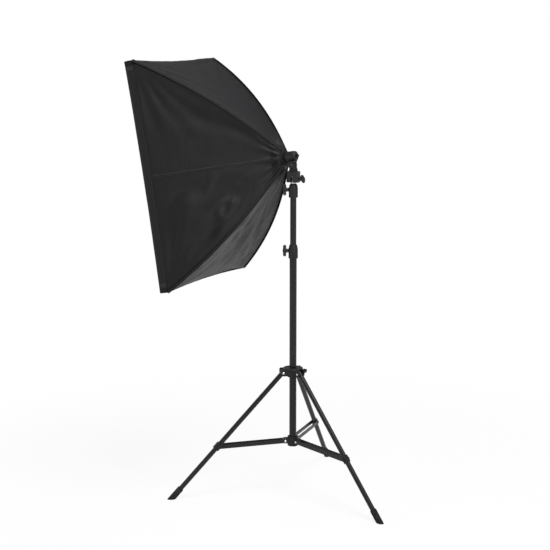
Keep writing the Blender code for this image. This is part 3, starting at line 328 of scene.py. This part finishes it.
def stitch_row(finish, across, along, where):
    """A row of dashes along the tape, at a distance from its middle line."""
    off = abs(across - where)
    on_line = finish.ramp(off * (1 / (2 * STITCH_WIDTH)), (0.35, 1.0), (0.60, 0.0))
    wave = (along * (2 * pi / STITCH_PITCH)).sine()
    dash = finish.ramp(wave * 0.5 + 0.5, (0.18, 0.0), (0.34, 1.0))
    return on_line * dash


# %% [markdown]
# ## Nylon and its silver lining
#
# Outside, the cover is black nylon with a slight satin sheen and the small creases of cloth that
# has been packed away. Inside it is coated silver to throw the light forward: almost a metal, and
# more crumpled than the outside, because the coating keeps every crease.

# %% Nylon and silver lining
def nylon():
    finish = Finish("black nylon", Sheen_Weight=0.035, Sheen_Roughness=0.3,
                    Sheen_Tint=(0.80, 0.84, 0.92, 1.0), Specular_IOR_Level=0.20)
    threads = weave(finish)
    mottle = finish.noise(14.0, 4.0)
    creases = finish.noise(38.0, 5.0, 0.62, stretch=(1.0, 1.0, 0.55))
    sharp = finish.ramp(creases, (0.42, 0.0), (0.58, 1.0))
    colour = finish.blend(mottle, (0.0036, 0.0036, 0.0043), (0.0078, 0.0078, 0.0090))
    finish.relief(threads * 0.22 + sharp * 0.6 + mottle * 0.5, 0.0011, 0.5)
    return finish.feed(Base_Color=colour, Roughness=0.36 + mottle * 0.14 + threads * 0.05)


def silver_lining():
    finish = Finish("silver lining", Metallic=0.85)
    threads = weave(finish)
    crinkle_and_shade = finish.noise(55.0, 5.0, 0.65)
    # The lining is painted darker in the hollows of its crinkles and lighter on their crests:
    # painted shade and painted light, from the same noise that makes the crinkles' relief.
    colour = finish.blend(crinkle_and_shade, (0.52, 0.53, 0.54), (0.74, 0.75, 0.76))
    finish.relief(threads * 0.2 + crinkle_and_shade, 0.0012, 0.6)
    return finish.feed(Base_Color=colour, Roughness=0.30 + crinkle_and_shade * 0.2)


# %% [markdown]
# ## Stitched tape
#
# Seams, hem and borders are bound in coarser tape, sewn down with rows of thread a shade lighter
# than itself. The rows are given as distances from the line that the tape was laid out on.

# %% Stitched tape
def stitched_tape(name, dark, light, thread, rows):
    finish = Finish(name, Sheen_Weight=0.02, Sheen_Roughness=0.5, Specular_IOR_Level=0.18)
    threads = weave(finish, TAPE_THREAD_PITCH)
    across, along = pattern_axes(finish)
    stitches = stitch_row(finish, across, along, rows[0])
    for row in rows[1:]:
        stitches = stitches + stitch_row(finish, across, along, row)
    # The tape is painted darker in the gaps between its threads and lighter on their tops: painted
    # shade and painted light, from the same weave that gives its relief.
    body = finish.blend(threads, dark, light)
    finish.relief(threads * 0.3 + stitches * 0.8, 0.0006, 0.7)
    return finish.feed(Base_Color=finish.blend(stitches, body, thread),
                       Roughness=0.72 - stitches * 0.2)


# %% [markdown]
# ## Diffuser cloth
#
# The front sheet is thin white nylon. White cloth is never one white: broad soft clouds, a shade
# apart, and the weave keep it from looking like card. With it the list of finishes is complete.

# %% Diffuser cloth and the list of finishes
def white_sheet():
    finish = Finish("diffuser cloth", Sheen_Weight=0.1, Specular_IOR_Level=0.3)
    threads = weave(finish)
    soft = finish.noise(9.0, 3.0)
    colour = finish.blend(soft, (0.76, 0.765, 0.775), (0.82, 0.823, 0.83))
    finish.relief(threads * 0.25 + finish.noise(30.0, 4.0) * 0.5, 0.0009, 0.4)
    return finish.feed(Base_Color=colour, Roughness=0.75 + soft * 0.1)


finishes = {
    "black_metal": powder_coat(),
    "black_plastic": moulded_plastic(),
    "rubber": rubber(),
    "steel": bright_metal("zinc plate", (0.50, 0.50, 0.49), (0.72, 0.72, 0.71)),
    "brass": bright_metal("brass", (0.52, 0.38, 0.14), (0.74, 0.58, 0.27)),
    "white_plastic": lamp_shell("lamp plastic", 0.82),
    "lamp_glass": lamp_shell("lamp tube", 0.88),
}
cloth = nylon()
lining = silver_lining()
seam_tape = stitched_tape("seam tape", (0.004, 0.004, 0.0045), (0.010, 0.010, 0.011),
                          (0.026, 0.026, 0.028), (-0.0026, 0.0026))
hem_tape = stitched_tape("hem cloth", (0.008, 0.008, 0.0085), (0.017, 0.017, 0.018),
                         (0.036, 0.036, 0.038), (0.0035, 0.0245))
white_tape = stitched_tape("white binding", (0.66, 0.66, 0.67), (0.80, 0.80, 0.80),
                           (0.90, 0.90, 0.90), (0.0030, 0.0130))
diffuser_cloth = white_sheet()
print("finishes:", len(bpy.data.materials))

# %% [markdown]
# ## Hard pieces with softened edges
#
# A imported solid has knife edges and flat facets. Real mouldings and rolled tubes have neither, and
# it is the small radius along an edge that catches the light. Each hard piece is copied, its round
# sides are shaded smooth and a narrow bevel is laid on the corners; the copy then stands for the
# solid, which stays in the model for collision.

# %% Finish every hard piece
SOFT_NODES = {"canopy", "hem", "diffuser"}
EDGE_RADIUS = {"black_metal": 0.0003, "black_plastic": 0.0006, "rubber": 0.0008,
               "steel": 0.0002, "brass": 0.0002, "white_plastic": 0.0008, "lamp_glass": 0.0002}
WELD_DISTANCE = 1e-5
FLAT_ANGLE = radians(1)
ROUND_ANGLE = radians(33)
BEVEL_ANGLE = radians(42)
slot_of = {row["node"]: row["material_slot"] for row in frame["record"]["subparts"]}


def body_of(node):
    for body, nodes in frame["record"]["behaviour"]["bodies"].items():
        if node in nodes:
            return body


def softened(node):
    slot = slot_of[node]
    mesh = frame["nodes"][node].data.copy()
    bm = bmesh.new()
    bm.from_mesh(mesh)
    bmesh.ops.remove_doubles(bm, verts=bm.verts, dist=WELD_DISTANCE)
    bmesh.ops.dissolve_limit(bm, angle_limit=FLAT_ANGLE, verts=bm.verts, edges=bm.edges)
    bm.to_mesh(mesh)
    bm.free()
    mesh.materials.clear()
    mesh.materials.append(finishes[slot])
    mesh.shade_smooth()
    mesh.set_sharp_from_angle(angle=ROUND_ANGLE)
    piece = bpy.data.objects.new(node + "_finished", mesh)
    bpy.context.collection.objects.link(piece)
    bevel = piece.modifiers.new("soft edge", "BEVEL")
    bevel.width = EDGE_RADIUS[slot]
    bevel.segments = 2
    bevel.limit_method = "ANGLE"
    bevel.angle_limit = BEVEL_ANGLE
    bevel.use_clamp_overlap = True
    bevel.harden_normals = True
    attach(piece, body_of(node))
    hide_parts(node)
    return piece


hard_pieces = [softened(node) for node in frame["nodes"] if node not in SOFT_NODES]
print("softened", len(hard_pieces), "hard pieces")

# %% [markdown]
# ## The shape of the cover
#
# Four spring rods leave the back plate and bow outwards to the corners, and the nylon is stretched
# over them. So the cover is one continuous sheet: round where it is gathered behind, a rectangle
# further out, and hollow between the rods. A simulation could find this shape, but the rods and the
# cut fix it so closely that a formula does it better, and gives the same cloth on every run. It
# gets three numbers: the side, how far along that side, and how far from back to front.

# %% The bowed cover
ROD_BOW = 0.027
BACK_RADIUS = 0.0243
SKIN_INSET = 0.0004
ROUND_BACK_SHARE = 0.12
CORNER_ANGLE = atan2(SOFTBOX_HEIGHT, SOFTBOX_WIDTH)
CORNER_RADIUS = hypot(SOFTBOX_WIDTH, SOFTBOX_HEIGHT) / 2 - SKIN_INSET
CORNERS = (CORNER_ANGLE, pi - CORNER_ANGLE, pi + CORNER_ANGLE, -CORNER_ANGLE)
TOP, LEFT, BOTTOM, RIGHT = range(4)
HOLLOW = {TOP: 0.012, BOTTOM: 0.014, LEFT: 0.017, RIGHT: 0.017}
FRONT_HOLLOW = {TOP: 0.007, BOTTOM: 0.008, LEFT: 0.009, RIGHT: 0.009}


def smooth(value):
    value = min(1.0, max(0.0, value))
    return value * value * (3 - 2 * value)


def rod_line(share):
    """Distance from the axis and depth of a corner of the cover."""
    along = Vector((CORNER_RADIUS - BACK_RADIUS, COVER_DEPTH))
    away = Vector((along.y, -along.x)).normalized()
    return (Vector((BACK_RADIUS, 0)) + along * share
            + away * 4 * ROD_BOW * share * (1 - share))


def corner_turn(side, part):
    start = CORNERS[side]
    sweep = (CORNERS[(side + 1) % 4] - start) % (2 * pi)
    return start, start + sweep * part, start + sweep


def section_point(side, part, radius, share):
    start, angle, end = corner_turn(side, part)
    blend = smooth(share / ROUND_BACK_SHARE)
    circle = Vector((cos(angle), sin(angle)))
    chord = Vector((cos(start), sin(start))).lerp(Vector((cos(end), sin(end))), part)
    return circle.lerp(chord, blend) * radius


def inward(side):
    return {TOP: Vector((0, -1)), LEFT: Vector((1, 0)),
            BOTTOM: Vector((0, 1)), RIGHT: Vector((-1, 0))}[side]


# %% [markdown]
# ## Folds and pulls
#
# Wrinkles are heights added to the cover, found from the same three numbers, because each kind
# belongs somewhere: fine gathers at the back, pulls that start at the front corners, and slack
# folds low on the long sides, where the cloth is least stretched. Each fades out before it would
# meet a rod.

# %% Folds and pulls
GATHER_HEIGHT = 0.0030
GATHERS_PER_SIDE = 5.5
GATHER_REACH = 0.34
PULL_HEIGHT = 0.0030
PULL_SPACING = 15
PULL_REACH = 0.75
FOLD_HEIGHT = 0.0130
RIDGE_HEIGHT = 0.0090
VALLEY_DEPTH = 0.0060
RIPPLE_HEIGHT = 0.0009
SLACK = {TOP: 0.3, BOTTOM: 0.45, LEFT: 1.25, RIGHT: 1.25}


def back_gathers(side, part, share):
    """Fine pleats that fan out from the gathered back edge."""
    fade = smooth(share / 0.05) * (1 - smooth(share / GATHER_REACH))
    shift = 0.17 * side
    drift = 1.4 * noise.noise((part * 6, side, 0.3))
    return GATHER_HEIGHT * fade * sin(2 * pi * (part * GATHERS_PER_SIDE + shift) + drift)


def corner_pulls(side, part, share):
    """Pulls that leave the front corners towards the middle of the panel."""
    total = 0.0
    for corner in (0.0, 1.0):
        across = abs(part - corner) * 1.35
        back = 1 - share
        distance = hypot(across, back)
        direction = atan2(back, across + 1e-4)
        fade = smooth(distance / 0.10) * (1 - smooth(distance / PULL_REACH))
        shift = 2.2 * side + corner * 1.7
        total += PULL_HEIGHT * fade * sin(direction * PULL_SPACING + shift)
    return total


def slack_folds(side, part, share):
    """Soft broad buckles where the cloth is least stretched, and a valley by the upper rods.

    lower runs down the long sides, from 0 at the upper rod to 1 at the lower one.
    """
    lower = {LEFT: part, RIGHT: 1 - part, TOP: 0.35, BOTTOM: 0.7}[side]
    low_half = smooth((lower - 0.46) / 0.22)
    middle = smooth((share - 0.22) / 0.25) * (1 - smooth((share - 0.80) / 0.17))
    seed = Vector((part * 4.4 + side * 3.1, share * 3.2 + part * 1.6, side * 1.7))
    fold = noise.noise(seed) + 0.5 * noise.noise(seed * 2.1)
    ridge = 1 - abs(2 * noise.noise(seed * 1.3 + Vector((5.2, 0.4, 2.0))))
    beside_rod = exp(-((lower - 0.15 - 0.05 * share) / 0.06) ** 2)
    valley = beside_rod * smooth((share - 0.15) / 0.2) * (1 - smooth((share - 0.6) / 0.3))
    buckle = FOLD_HEIGHT * fold + RIDGE_HEIGHT * ridge ** 3
    return SLACK[side] * (middle * low_half * buckle - VALLEY_DEPTH * valley)


def ripple(side, part, share):
    seed = Vector((part * 13 + side * 7, share * 9, side))
    return RIPPLE_HEIGHT * noise.noise(seed) * smooth(share / 0.1)


# %% [markdown]
# ## Any point of the cover
#
# The point is first laid on the flat cloth between two rods, then moved inwards by the hollow and
# outwards by the wrinkles. Both are held at nothing along the rods, so the cloth stays on them.

# %% A point of the cover
def cover_point(side, part, share):
    radius, depth = rod_line(share)
    flat = section_point(side, part, radius, share)
    edge = 4 * part * (1 - part)
    hollow = HOLLOW[side] * sin(pi * share) + FRONT_HOLLOW[side] * share ** 3
    wrinkles = (back_gathers(side, part, share) + corner_pulls(side, part, share)
                + slack_folds(side, part, share) + ripple(side, part, share))
    moved = hollow * edge - wrinkles * smooth(edge * 2.4)
    flat = flat + inward(side) * moved * smooth(share / 0.05)
    return Vector((flat.x, flat.y, depth))


middle_of_side = cover_point(RIGHT, 0.5, 0.5)
print("middle of a side panel:", [round(value, 3) for value in middle_of_side])

# %% [markdown]
# ## Sewing the cover
#
# The sheet is laid out as rows from back to front and closed round the axis, with its pattern
# coordinates in metres written as it goes. Solidify gives it the thickness of doubled nylon, and
# its second material slot is the silver lining, so one mesh carries both faces.

# %% The cover
SIDE_STEPS = {TOP: 30, LEFT: 42, BOTTOM: 30, RIGHT: 42}
COVER_ROWS = 64
ROWS_CLOSER_BEHIND = 1.15
COVER_THICKNESS = 0.0007


def soft_object(name, bm, materials, body="head"):
    mesh = bpy.data.meshes.new(name)
    bm.to_mesh(mesh)
    bm.free()
    mesh.transform(softbox_frame)
    for material in materials:
        mesh.materials.append(material)
    mesh.shade_smooth()
    piece = bpy.data.objects.new(name, mesh)
    bpy.context.collection.objects.link(piece)
    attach(piece, body)
    return piece


def thicken(piece, thickness, inner_slot=0, offset=-1.0):
    skin = piece.modifiers.new("thickness", "SOLIDIFY")
    skin.thickness = thickness
    skin.offset = offset
    skin.material_offset = inner_slot


def around():
    """Every (side, part) once, in order round the cover."""
    return [(side, step / SIDE_STEPS[side]) for side in range(4)
            for step in range(SIDE_STEPS[side])]


def strip_mesh(rows, closed_round, coordinates):
    """Faces between neighbouring rows of points, with metres as pattern coordinates."""
    bm = bmesh.new()
    pattern = bm.loops.layers.uv.new("pattern")
    grid = [[bm.verts.new(point) for point in row] for row in rows]
    count = len(rows[0])
    for r in range(len(rows) - 1):
        for k in range(count if closed_round else count - 1):
            after = (k + 1) % count
            face = bm.faces.new((grid[r][k], grid[r][after], grid[r + 1][after],
                                 grid[r + 1][k]))
            for loop, (row, step) in zip(face.loops, ((r, k), (r, k + 1), (r + 1, k + 1),
                                                      (r + 1, k))):
                loop[pattern].uv = coordinates(row, step)
    return bm


cover_rows = []
for index in range(COVER_ROWS + 1):
    share = (index / COVER_ROWS) ** ROWS_CLOSER_BEHIND
    cover_rows.append([cover_point(side, part, share) for side, part in around()])
edge_step = 2 * (SOFTBOX_WIDTH + SOFTBOX_HEIGHT) / len(cover_rows[0])
row_step = hypot(CORNER_RADIUS, COVER_DEPTH) / COVER_ROWS
cover = soft_object("cover", strip_mesh(cover_rows, True,
                                        lambda r, k: (k * edge_step, r * row_step)),
                    [cloth, lining])
thicken(cover, COVER_THICKNESS, 1)
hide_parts("canopy")
print("cover faces:", len(cover.data.polygons))

# %% [markdown]
# ## Seams
#
# The panels are joined over the rods, where the raw edges are bound into a narrow raised welt, and
# the long side panels have a taped seam across their middle, from the back plate to the hem. Each
# is a ribbon laid along a line of the cover, a hair above it, wide enough for two rows of stitches.

# %% Ribbons on the cover
SMALL_STEP = 0.004
WELT_WIDTH = 0.0085
TAPE_WIDTH = 0.0095
TAPE_THICKNESS = 0.0006
TAPE_START = 0.006
TAPE_STEPS = 76
ACROSS_TAPE = (-1, -0.8, -0.4, 0, 0.4, 0.8, 1)


def surface_frame(side, part, share):
    """A point of the cover with its outward normal, running direction and cross direction."""
    point = cover_point(side, part, share)
    run = (cover_point(side, part, min(1, share + SMALL_STEP))
           - cover_point(side, part, max(0, share - SMALL_STEP))).normalized()
    if 0 < part < 1:
        beside = (cover_point(side, part + SMALL_STEP, share)
                  - cover_point(side, part - SMALL_STEP, share))
    else:
        beside = (cover_point(side, SMALL_STEP, share)
                  - cover_point((side - 1) % 4, 1 - SMALL_STEP, share))
    outward = beside.cross(run).normalized()
    if outward.dot(Vector((point.x, point.y, 0))) < 0:
        outward = -outward
    return point, outward, run, run.cross(outward).normalized()


def ribbon(name, side, part, width, lift, crown):
    """A tape from the gathered back to the hem, raised along its middle."""
    rows = []
    for index in range(TAPE_STEPS + 1):
        share = TAPE_START + (1 - TAPE_START) * index / TAPE_STEPS
        point, outward, run, across = surface_frame(side, part, share)
        row = []
        for offset in ACROSS_TAPE:
            height = lift + crown * (1 - abs(offset) ** 3)
            row.append(point + across * offset * width / 2 + outward * height)
        rows.append(row)
    length = hypot(CORNER_RADIUS, COVER_DEPTH) * (1 - TAPE_START)
    piece = soft_object(name, strip_mesh(rows, False, lambda r, k: (
        (k / 6 - 0.5) * width, r * length / TAPE_STEPS)), [seam_tape])
    thicken(piece, TAPE_THICKNESS, offset=0)
    return piece


trimmings = [ribbon(f"rod_seam_{number}", side, 0.0, WELT_WIDTH, lift=0.0002, crown=0.0016)
             for number, side in enumerate((TOP, LEFT, BOTTOM, RIGHT), start=1)]
trimmings += [ribbon(f"middle_seam_{name}", side, 0.5, TAPE_WIDTH, lift=0.0004, crown=0.0009)
              for name, side in (("left", LEFT), ("right", RIGHT))]
print("seams sewn:", len(trimmings))

# %% [markdown]
# ## The hem
#
# The front edge is a doubled band that carries the corner pockets for the rod tips and, inside,
# the soft half of the hook-and-loop. It is laid on from the cover's own last row, so its edge keeps
# the same slight hollow between the corners.

# %% Hem band
HEM_THICKNESS = 0.0016
HEM_ROWS = 10
HEM_PUCKER = 0.0009


def hem_outline(side, part, along, grow=0.0):
    """A point of the band: along is 0 at the cover and 1 at the front lip."""
    edge = 4 * part * (1 - part)
    flat = section_point(side, part, CORNER_RADIUS, 1.0)
    seed = Vector((part * 16 + side * 5, along * 2.5, 1.3))
    pucker = HEM_PUCKER * noise.noise(seed) * edge
    hollow = FRONT_HOLLOW[side] * edge * (1 - 0.25 * along) + pucker
    flat = flat + inward(side) * (hollow - grow)
    return Vector((flat.x, flat.y, COVER_DEPTH + HEM_DEPTH * along))


hem_rows = [[hem_outline(side, part, index / HEM_ROWS) for side, part in around()]
            for index in range(HEM_ROWS + 1)]
hem = soft_object("hem_band", strip_mesh(
    hem_rows, True, lambda r, k: (r / HEM_ROWS * HEM_DEPTH, k * edge_step)), [hem_tape])
thicken(hem, HEM_THICKNESS)
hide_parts("hem")
print("hem band faces:", len(hem.data.polygons))

# %% [markdown]
# ## Corded edges
#
# A thin cord is sewn in where the band joins the cover, and the lip is rolled over another. Each is
# a round of small circles laid along the hem's own outline, then closed on itself like the cuff
# behind, which is why closing a loop is a helper of its own.

# %% Cords round the hem
CORD_SIDES = 8
SEAM_CORD_RADIUS = 0.0013
LIP_CORD_RADIUS = 0.0012
SAME_POINT = 1e-6


def closed_loop(rows, coordinates):
    """A mesh of rings whose last ring is also its first."""
    bm = strip_mesh(rows + rows[:1], True, coordinates)
    bmesh.ops.remove_doubles(bm, verts=bm.verts, dist=SAME_POINT)
    bmesh.ops.recalc_face_normals(bm, faces=bm.faces)
    return bm


def cord_round(name, along, radius, inset):
    """A thin cord sewn into the band all the way round."""
    forward = Vector((0, 0, 1))
    turns = [2 * pi * k / CORD_SIDES for k in range(CORD_SIDES)]
    path = [hem_outline(side, part, along, -inset) for side, part in around()]
    rows = []
    for index, point in enumerate(path):
        run = (path[(index + 1) % len(path)] - path[index - 1]).normalized()
        sideways = run.cross(forward).normalized()
        rows.append([point + (sideways * cos(turn) + forward * sin(turn)) * radius
                     for turn in turns])
    piece = soft_object(name, closed_loop(rows, lambda r, k: (
        k / CORD_SIDES * 2 * pi * radius, r * edge_step)), [seam_tape])
    return piece


trimmings += [cord_round("seam_cord", 0.03, SEAM_CORD_RADIUS, inset=0.0004),
              cord_round("lip_cord", 0.985, LIP_CORD_RADIUS, inset=0.0010)]
print("trimmings so far:", len(trimmings))

# %% [markdown]
# ## Corner pockets
#
# Each rod ends in a pocket of webbing folded over the corner of the hem and stitched down. It is a
# small saddle: two legs, one on each side of the corner, with a crowned fold between them.

# %% Corner pockets
POCKET_REACH = 0.030
POCKET_HEIGHT = 0.024
POCKET_THICKNESS = 0.0009
POCKET_ROWS = 6
POCKET_STEPS = (0.06, 0.2, 0.4, 0.6, 0.8, 1.0)
POCKET_STITCH_SPAN = 0.0065
EDGE_LENGTH = {TOP: SOFTBOX_WIDTH, BOTTOM: SOFTBOX_WIDTH,
               LEFT: SOFTBOX_HEIGHT, RIGHT: SOFTBOX_HEIGHT}


def corner_pocket(number, side):
    """The pocket where a side starts, reaching back along the side before it."""
    before = (side - 1) % 4
    spots = [(before, 1 - POCKET_REACH / EDGE_LENGTH[before] * share)
             for share in reversed(POCKET_STEPS)]
    spots += [(side, POCKET_REACH / EDGE_LENGTH[side] * share) for share in POCKET_STEPS]
    last = len(spots) - 1
    rows = [[hem_outline(where, part, 0.07 + 0.86 * index / POCKET_ROWS, 0.0002)
             for where, part in spots] for index in range(POCKET_ROWS + 1)]
    pocket = soft_object(f"corner_pocket_{number}", strip_mesh(rows, False, lambda r, k: (
        (k / last - 0.5) * POCKET_STITCH_SPAN, r / POCKET_ROWS * POCKET_HEIGHT)), [seam_tape])
    thicken(pocket, POCKET_THICKNESS, offset=1.0)
    soft_corner = pocket.modifiers.new("soft fold", "SUBSURF")
    soft_corner.levels = 1
    soft_corner.render_levels = 1
    return pocket


trimmings += [corner_pocket(number, side)
              for number, side in enumerate((TOP, LEFT, BOTTOM, RIGHT), start=1)]
print("corner pockets sewn")

# %% [markdown]
# ## What the cover was cut from
#
# The cover is four panels. Laid flat, each is a tall trapezium: as wide as its side of the hem at
# the front, a quarter of the back opening behind, and as long as the slope between them. Laid
# alternately, the two wide ones and the two tall ones come out of one length of cloth.

# %% The cover as a sheet
CLOTH_WIDTH = 0.75
CUTTING_YIELD = 0.86
BOW_ALLOWANCE = 1.08


def panel_area(front_edge, half_across):
    slope = hypot(half_across - BACK_RADIUS, COVER_DEPTH)
    return slope * (front_edge + pi * BACK_RADIUS / 2) / 2


flat_area = 2 * (panel_area(SOFTBOX_WIDTH, SOFTBOX_HEIGHT / 2)
                 + panel_area(SOFTBOX_HEIGHT, SOFTBOX_WIDTH / 2))
flat_area = flat_area * BOW_ALLOWANCE
cut_length = flat_area / CLOTH_WIDTH / CUTTING_YIELD
print("cover cut from", round(flat_area, 3), "m2 of cloth")

# %% [markdown]
# ## The diffuser
#
# The front sheet is thin white nylon held by hook-and-loop just inside the lip. It bellies forward
# a little and shows faint pulls that start at its edge, where it was pressed on by hand. It is held
# all round, so a formula shapes it as well.

# %% Front sheet
SHEET_STEPS = (44, 60)
SHEET_DEPTH = SOFTBOX_DEPTH - 0.0085
SHEET_GAP = 0.0024
SHEET_BELLY = 0.0055
SHEET_THICKNESS = 0.0006
SHEET_SLACK = 0.0011
SHEET_PULL = 0.0007


def sheet_point(across, up):
    """across and up run from -1 to 1; the sheet's edge follows the hem."""
    hollow_x = FRONT_HOLLOW[LEFT] * 0.8 * (1 - up ** 2)
    hollow_y = FRONT_HOLLOW[TOP] * 0.8 * (1 - across ** 2)
    half_x = SOFTBOX_WIDTH / 2 - SHEET_GAP - hollow_x
    half_y = SOFTBOX_HEIGHT / 2 - SHEET_GAP - hollow_y
    belly = SHEET_BELLY * (1 - across ** 2) * (1 - up ** 2)
    seed = Vector((across * 2.6, up * 3.4, 0.7))
    slack = SHEET_SLACK * noise.noise(seed) + 0.0005 * noise.noise(seed * 3.1)
    near_side = exp(-((1 - abs(across)) / 0.16) ** 2) * sin(up * 31 + across * 3)
    near_end = exp(-((1 - abs(up)) / 0.12) ** 2) * sin(across * 25 + up * 2)
    edge = (1 - across ** 8) * (1 - up ** 8)
    pulls = SHEET_PULL * (near_side + near_end)
    return Vector((across * half_x, up * half_y, SHEET_DEPTH + belly + (slack + pulls) * edge))


steps_x, steps_y = SHEET_STEPS
sheet_rows = [[sheet_point(2 * k / steps_x - 1, 2 * r / steps_y - 1)
               for k in range(steps_x + 1)] for r in range(steps_y + 1)]
front_sheet = soft_object("front_sheet", strip_mesh(sheet_rows, False, lambda r, k: (
    k / steps_x * SOFTBOX_WIDTH, r / steps_y * SOFTBOX_HEIGHT)), [diffuser_cloth])
thicken(front_sheet, SHEET_THICKNESS)
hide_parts("diffuser")
print("front sheet faces:", len(front_sheet.data.polygons))

# %% [markdown]
# ## The sheet's border
#
# Thin nylon frays and tears at a raw edge, so the sheet is bound with tape on all four sides, and
# the hook-and-loop is sewn to that. Each border follows the sheet's own formula, half a millimetre
# above it, so the two can't part.

# %% Bound border of the sheet
BORDER_WIDTH = 0.016
BORDER_THICKNESS = 0.0004
BORDER_STEPS = 60
BORDER_STEPS_ACROSS = 4


def border(name, fixed, sign):
    """One side of the border: fixed is "across" or "up", sign says which edge."""
    sideways = fixed == "across"
    half_span = (SOFTBOX_WIDTH if sideways else SOFTBOX_HEIGHT) / 2
    length = SOFTBOX_HEIGHT if sideways else SOFTBOX_WIDTH
    rows = []
    for index in range(BORDER_STEPS + 1):
        along = 2 * index / BORDER_STEPS - 1
        row = []
        for k in range(BORDER_STEPS_ACROSS + 1):
            inwards = sign * (1 - BORDER_WIDTH / half_span * k / BORDER_STEPS_ACROSS)
            point = sheet_point(inwards, along) if sideways else sheet_point(along, inwards)
            crown = 0.0004 * (1 - abs(k - 2) / 2)
            row.append(point + Vector((0, 0, 0.0005 + crown)))
        rows.append(row)
    piece = soft_object(name, strip_mesh(rows, False, lambda r, k: (
        k / BORDER_STEPS_ACROSS * BORDER_WIDTH, r / BORDER_STEPS * length)), [white_tape])
    thicken(piece, BORDER_THICKNESS, offset=0)
    return piece


borders = [border("border_left", "across", -1), border("border_right", "across", 1),
           border("border_low", "up", -1), border("border_high", "up", 1)]
print("borders sewn on:", len(borders))

# %% [markdown]
# ## The gathered back
#
# Behind, the cover is drawn in by an elastic and rolled over the rim of the rod plate. It is a ring
# of small pleats, thicker than the cloth, which hides the plate from outside.

# %% Gathered cuff
CUFF_PLEATS = 26
CUFF_STEPS = 156
CUFF_ROLL = 12
CUFF_THICKNESS = 0.0017
CUFF_PLEAT_HEIGHT = 0.0011
CUFF_PATTERN_STEP = 0.001
cuff_rows = []
for index in range(CUFF_STEPS):
    turn = 2 * pi * index / CUFF_STEPS
    pleat = 0.5 + 0.5 * sin(CUFF_PLEATS * turn + 0.8 * sin(3 * turn))
    row = []
    for k in range(CUFF_ROLL):
        roll = 2 * pi * k / CUFF_ROLL
        thick = CUFF_THICKNESS + CUFF_PLEAT_HEIGHT * pleat
        away = BACK_RADIUS - 0.0006 + thick * cos(roll) * 0.75
        row.append(Vector((away * cos(turn), away * sin(turn),
                           0.0018 + thick * 1.9 * sin(roll))))
    cuff_rows.append(row)
cuff = soft_object("back_cuff", closed_loop(cuff_rows, lambda r, k: (
    k * CUFF_PATTERN_STEP, r * CUFF_PATTERN_STEP)), [cloth])
print("cuff pleats:", CUFF_PLEATS)

# %% [markdown]
# ## The floor
#
# The stand is shown on plain white. A white floor under lamps would still come out grey and end in
# a horizon, so it answers the camera mostly with a white glow of its own. Near the feet it keeps a
# share of real shading, so that they still throw a faint shadow.

# %% Floor
FLOOR_SIZE = 14
GLOW_BY_THE_FEET = 0.87


def stage_floor():
    bm = bmesh.new()
    bmesh.ops.create_grid(bm, x_segments=1, y_segments=1, size=FLOOR_SIZE)
    mesh = bpy.data.meshes.new("floor")
    bm.to_mesh(mesh)
    bm.free()
    floor = bpy.data.objects.new("floor", mesh)
    bpy.context.collection.objects.link(floor)
    finish = Finish("studio floor", Base_Color=(0.80, 0.80, 0.80, 1), Roughness=0.9,
                    Specular_IOR_Level=0.1)
    spot = finish.place()
    far = finish.node("ShaderNodeVectorMath", {"operation": "DISTANCE"},
                      {0: spot, 1: tuple(floor_under_column)}, 1)
    beyond_feet = finish.ramp(far * 0.25, (0.16, 0.0), (0.42, 1.0))
    own_white = GLOW_BY_THE_FEET + (1 - GLOW_BY_THE_FEET) * beyond_feet
    ray = "ShaderNodeLightPath"
    seen = finish.node(ray, output="Is Camera Ray") + finish.node(ray, output="Is Glossy Ray") \
        + finish.node(ray, output="Is Transmission Ray")
    glow = finish.node("ShaderNodeEmission", inputs={"Color": (1, 1, 1, 1), "Strength": 1.0})
    lit = Wire(finish, finish.shader.outputs[0])
    mixed = finish.node("ShaderNodeMixShader", inputs={0: seen * own_white, 1: lit, 2: glow})
    finish.plug(finish.tree.nodes["Material Output"].inputs["Surface"], mixed)
    mesh.materials.append(finish.material)


stage_floor()
print("floor laid")

# %% [markdown]
# ## The sky
#
# Black cloth needs light from everywhere, or its folds turn into holes. The world gives an even
# light of its own strength, while the camera, and anything seen through glass, gets plain white.

# %% Sky
SKY_LIGHT = 0.34
world = bpy.data.worlds.new("studio")
world.use_nodes = True
bpy.context.scene.world = world
tree = world.node_tree
background = tree.nodes["Background"]
path = tree.nodes.new("ShaderNodeLightPath")
strength = tree.nodes.new("ShaderNodeMapRange")
seen_rays = tree.nodes.new("ShaderNodeMath")
seen_rays.operation = "MAXIMUM"
tree.links.new(path.outputs["Is Camera Ray"], seen_rays.inputs[0])
tree.links.new(path.outputs["Is Transmission Ray"], seen_rays.inputs[1])
tree.links.new(seen_rays.outputs[0], strength.inputs["Value"])
strength.inputs["To Min"].default_value = SKY_LIGHT
strength.inputs["To Max"].default_value = 1.0
background.inputs["Color"].default_value = (1, 1, 1, 1)
tree.links.new(strength.outputs[0], background.inputs["Strength"])
print("sky strength:", SKY_LIGHT)

# %% [markdown]
# ## The lamps
#
# Four large soft lamps draw the folds: the strongest overhead and a little behind, one on each side
# of the camera, and one in front, so that the white sheet isn't in shade. All of them are aimed at
# one spot, a little above the middle of the part.

# %% Lamps
LAMP_AIM = Vector((0, 0, 0.8))


def area_lamp(name, place, size, watts):
    data = bpy.data.lights.new(name, "AREA")
    data.shape = "RECTANGLE"
    data.size = size
    data.size_y = size
    data.energy = watts
    lamp = bpy.data.objects.new(name, data)
    bpy.context.collection.objects.link(lamp)
    lamp.location = place
    lamp.rotation_euler = (LAMP_AIM - lamp.location).to_track_quat("-Z", "Y").to_euler()


area_lamp("overhead lamp", Vector((0.6, 1.0, 3.4)), 1.5, 88.0)
area_lamp("camera side lamp", Vector((2.6, 3.4, 2.2)), 0.9, 55.0)
area_lamp("low side lamp", Vector((3.2, -2.2, 1.3)), 0.9, 26.0)
area_lamp("front lamp", Vector((-1.2, -3.4, 2.1)), 1.6, 34.0)
print("lamps:", len(bpy.data.lights))
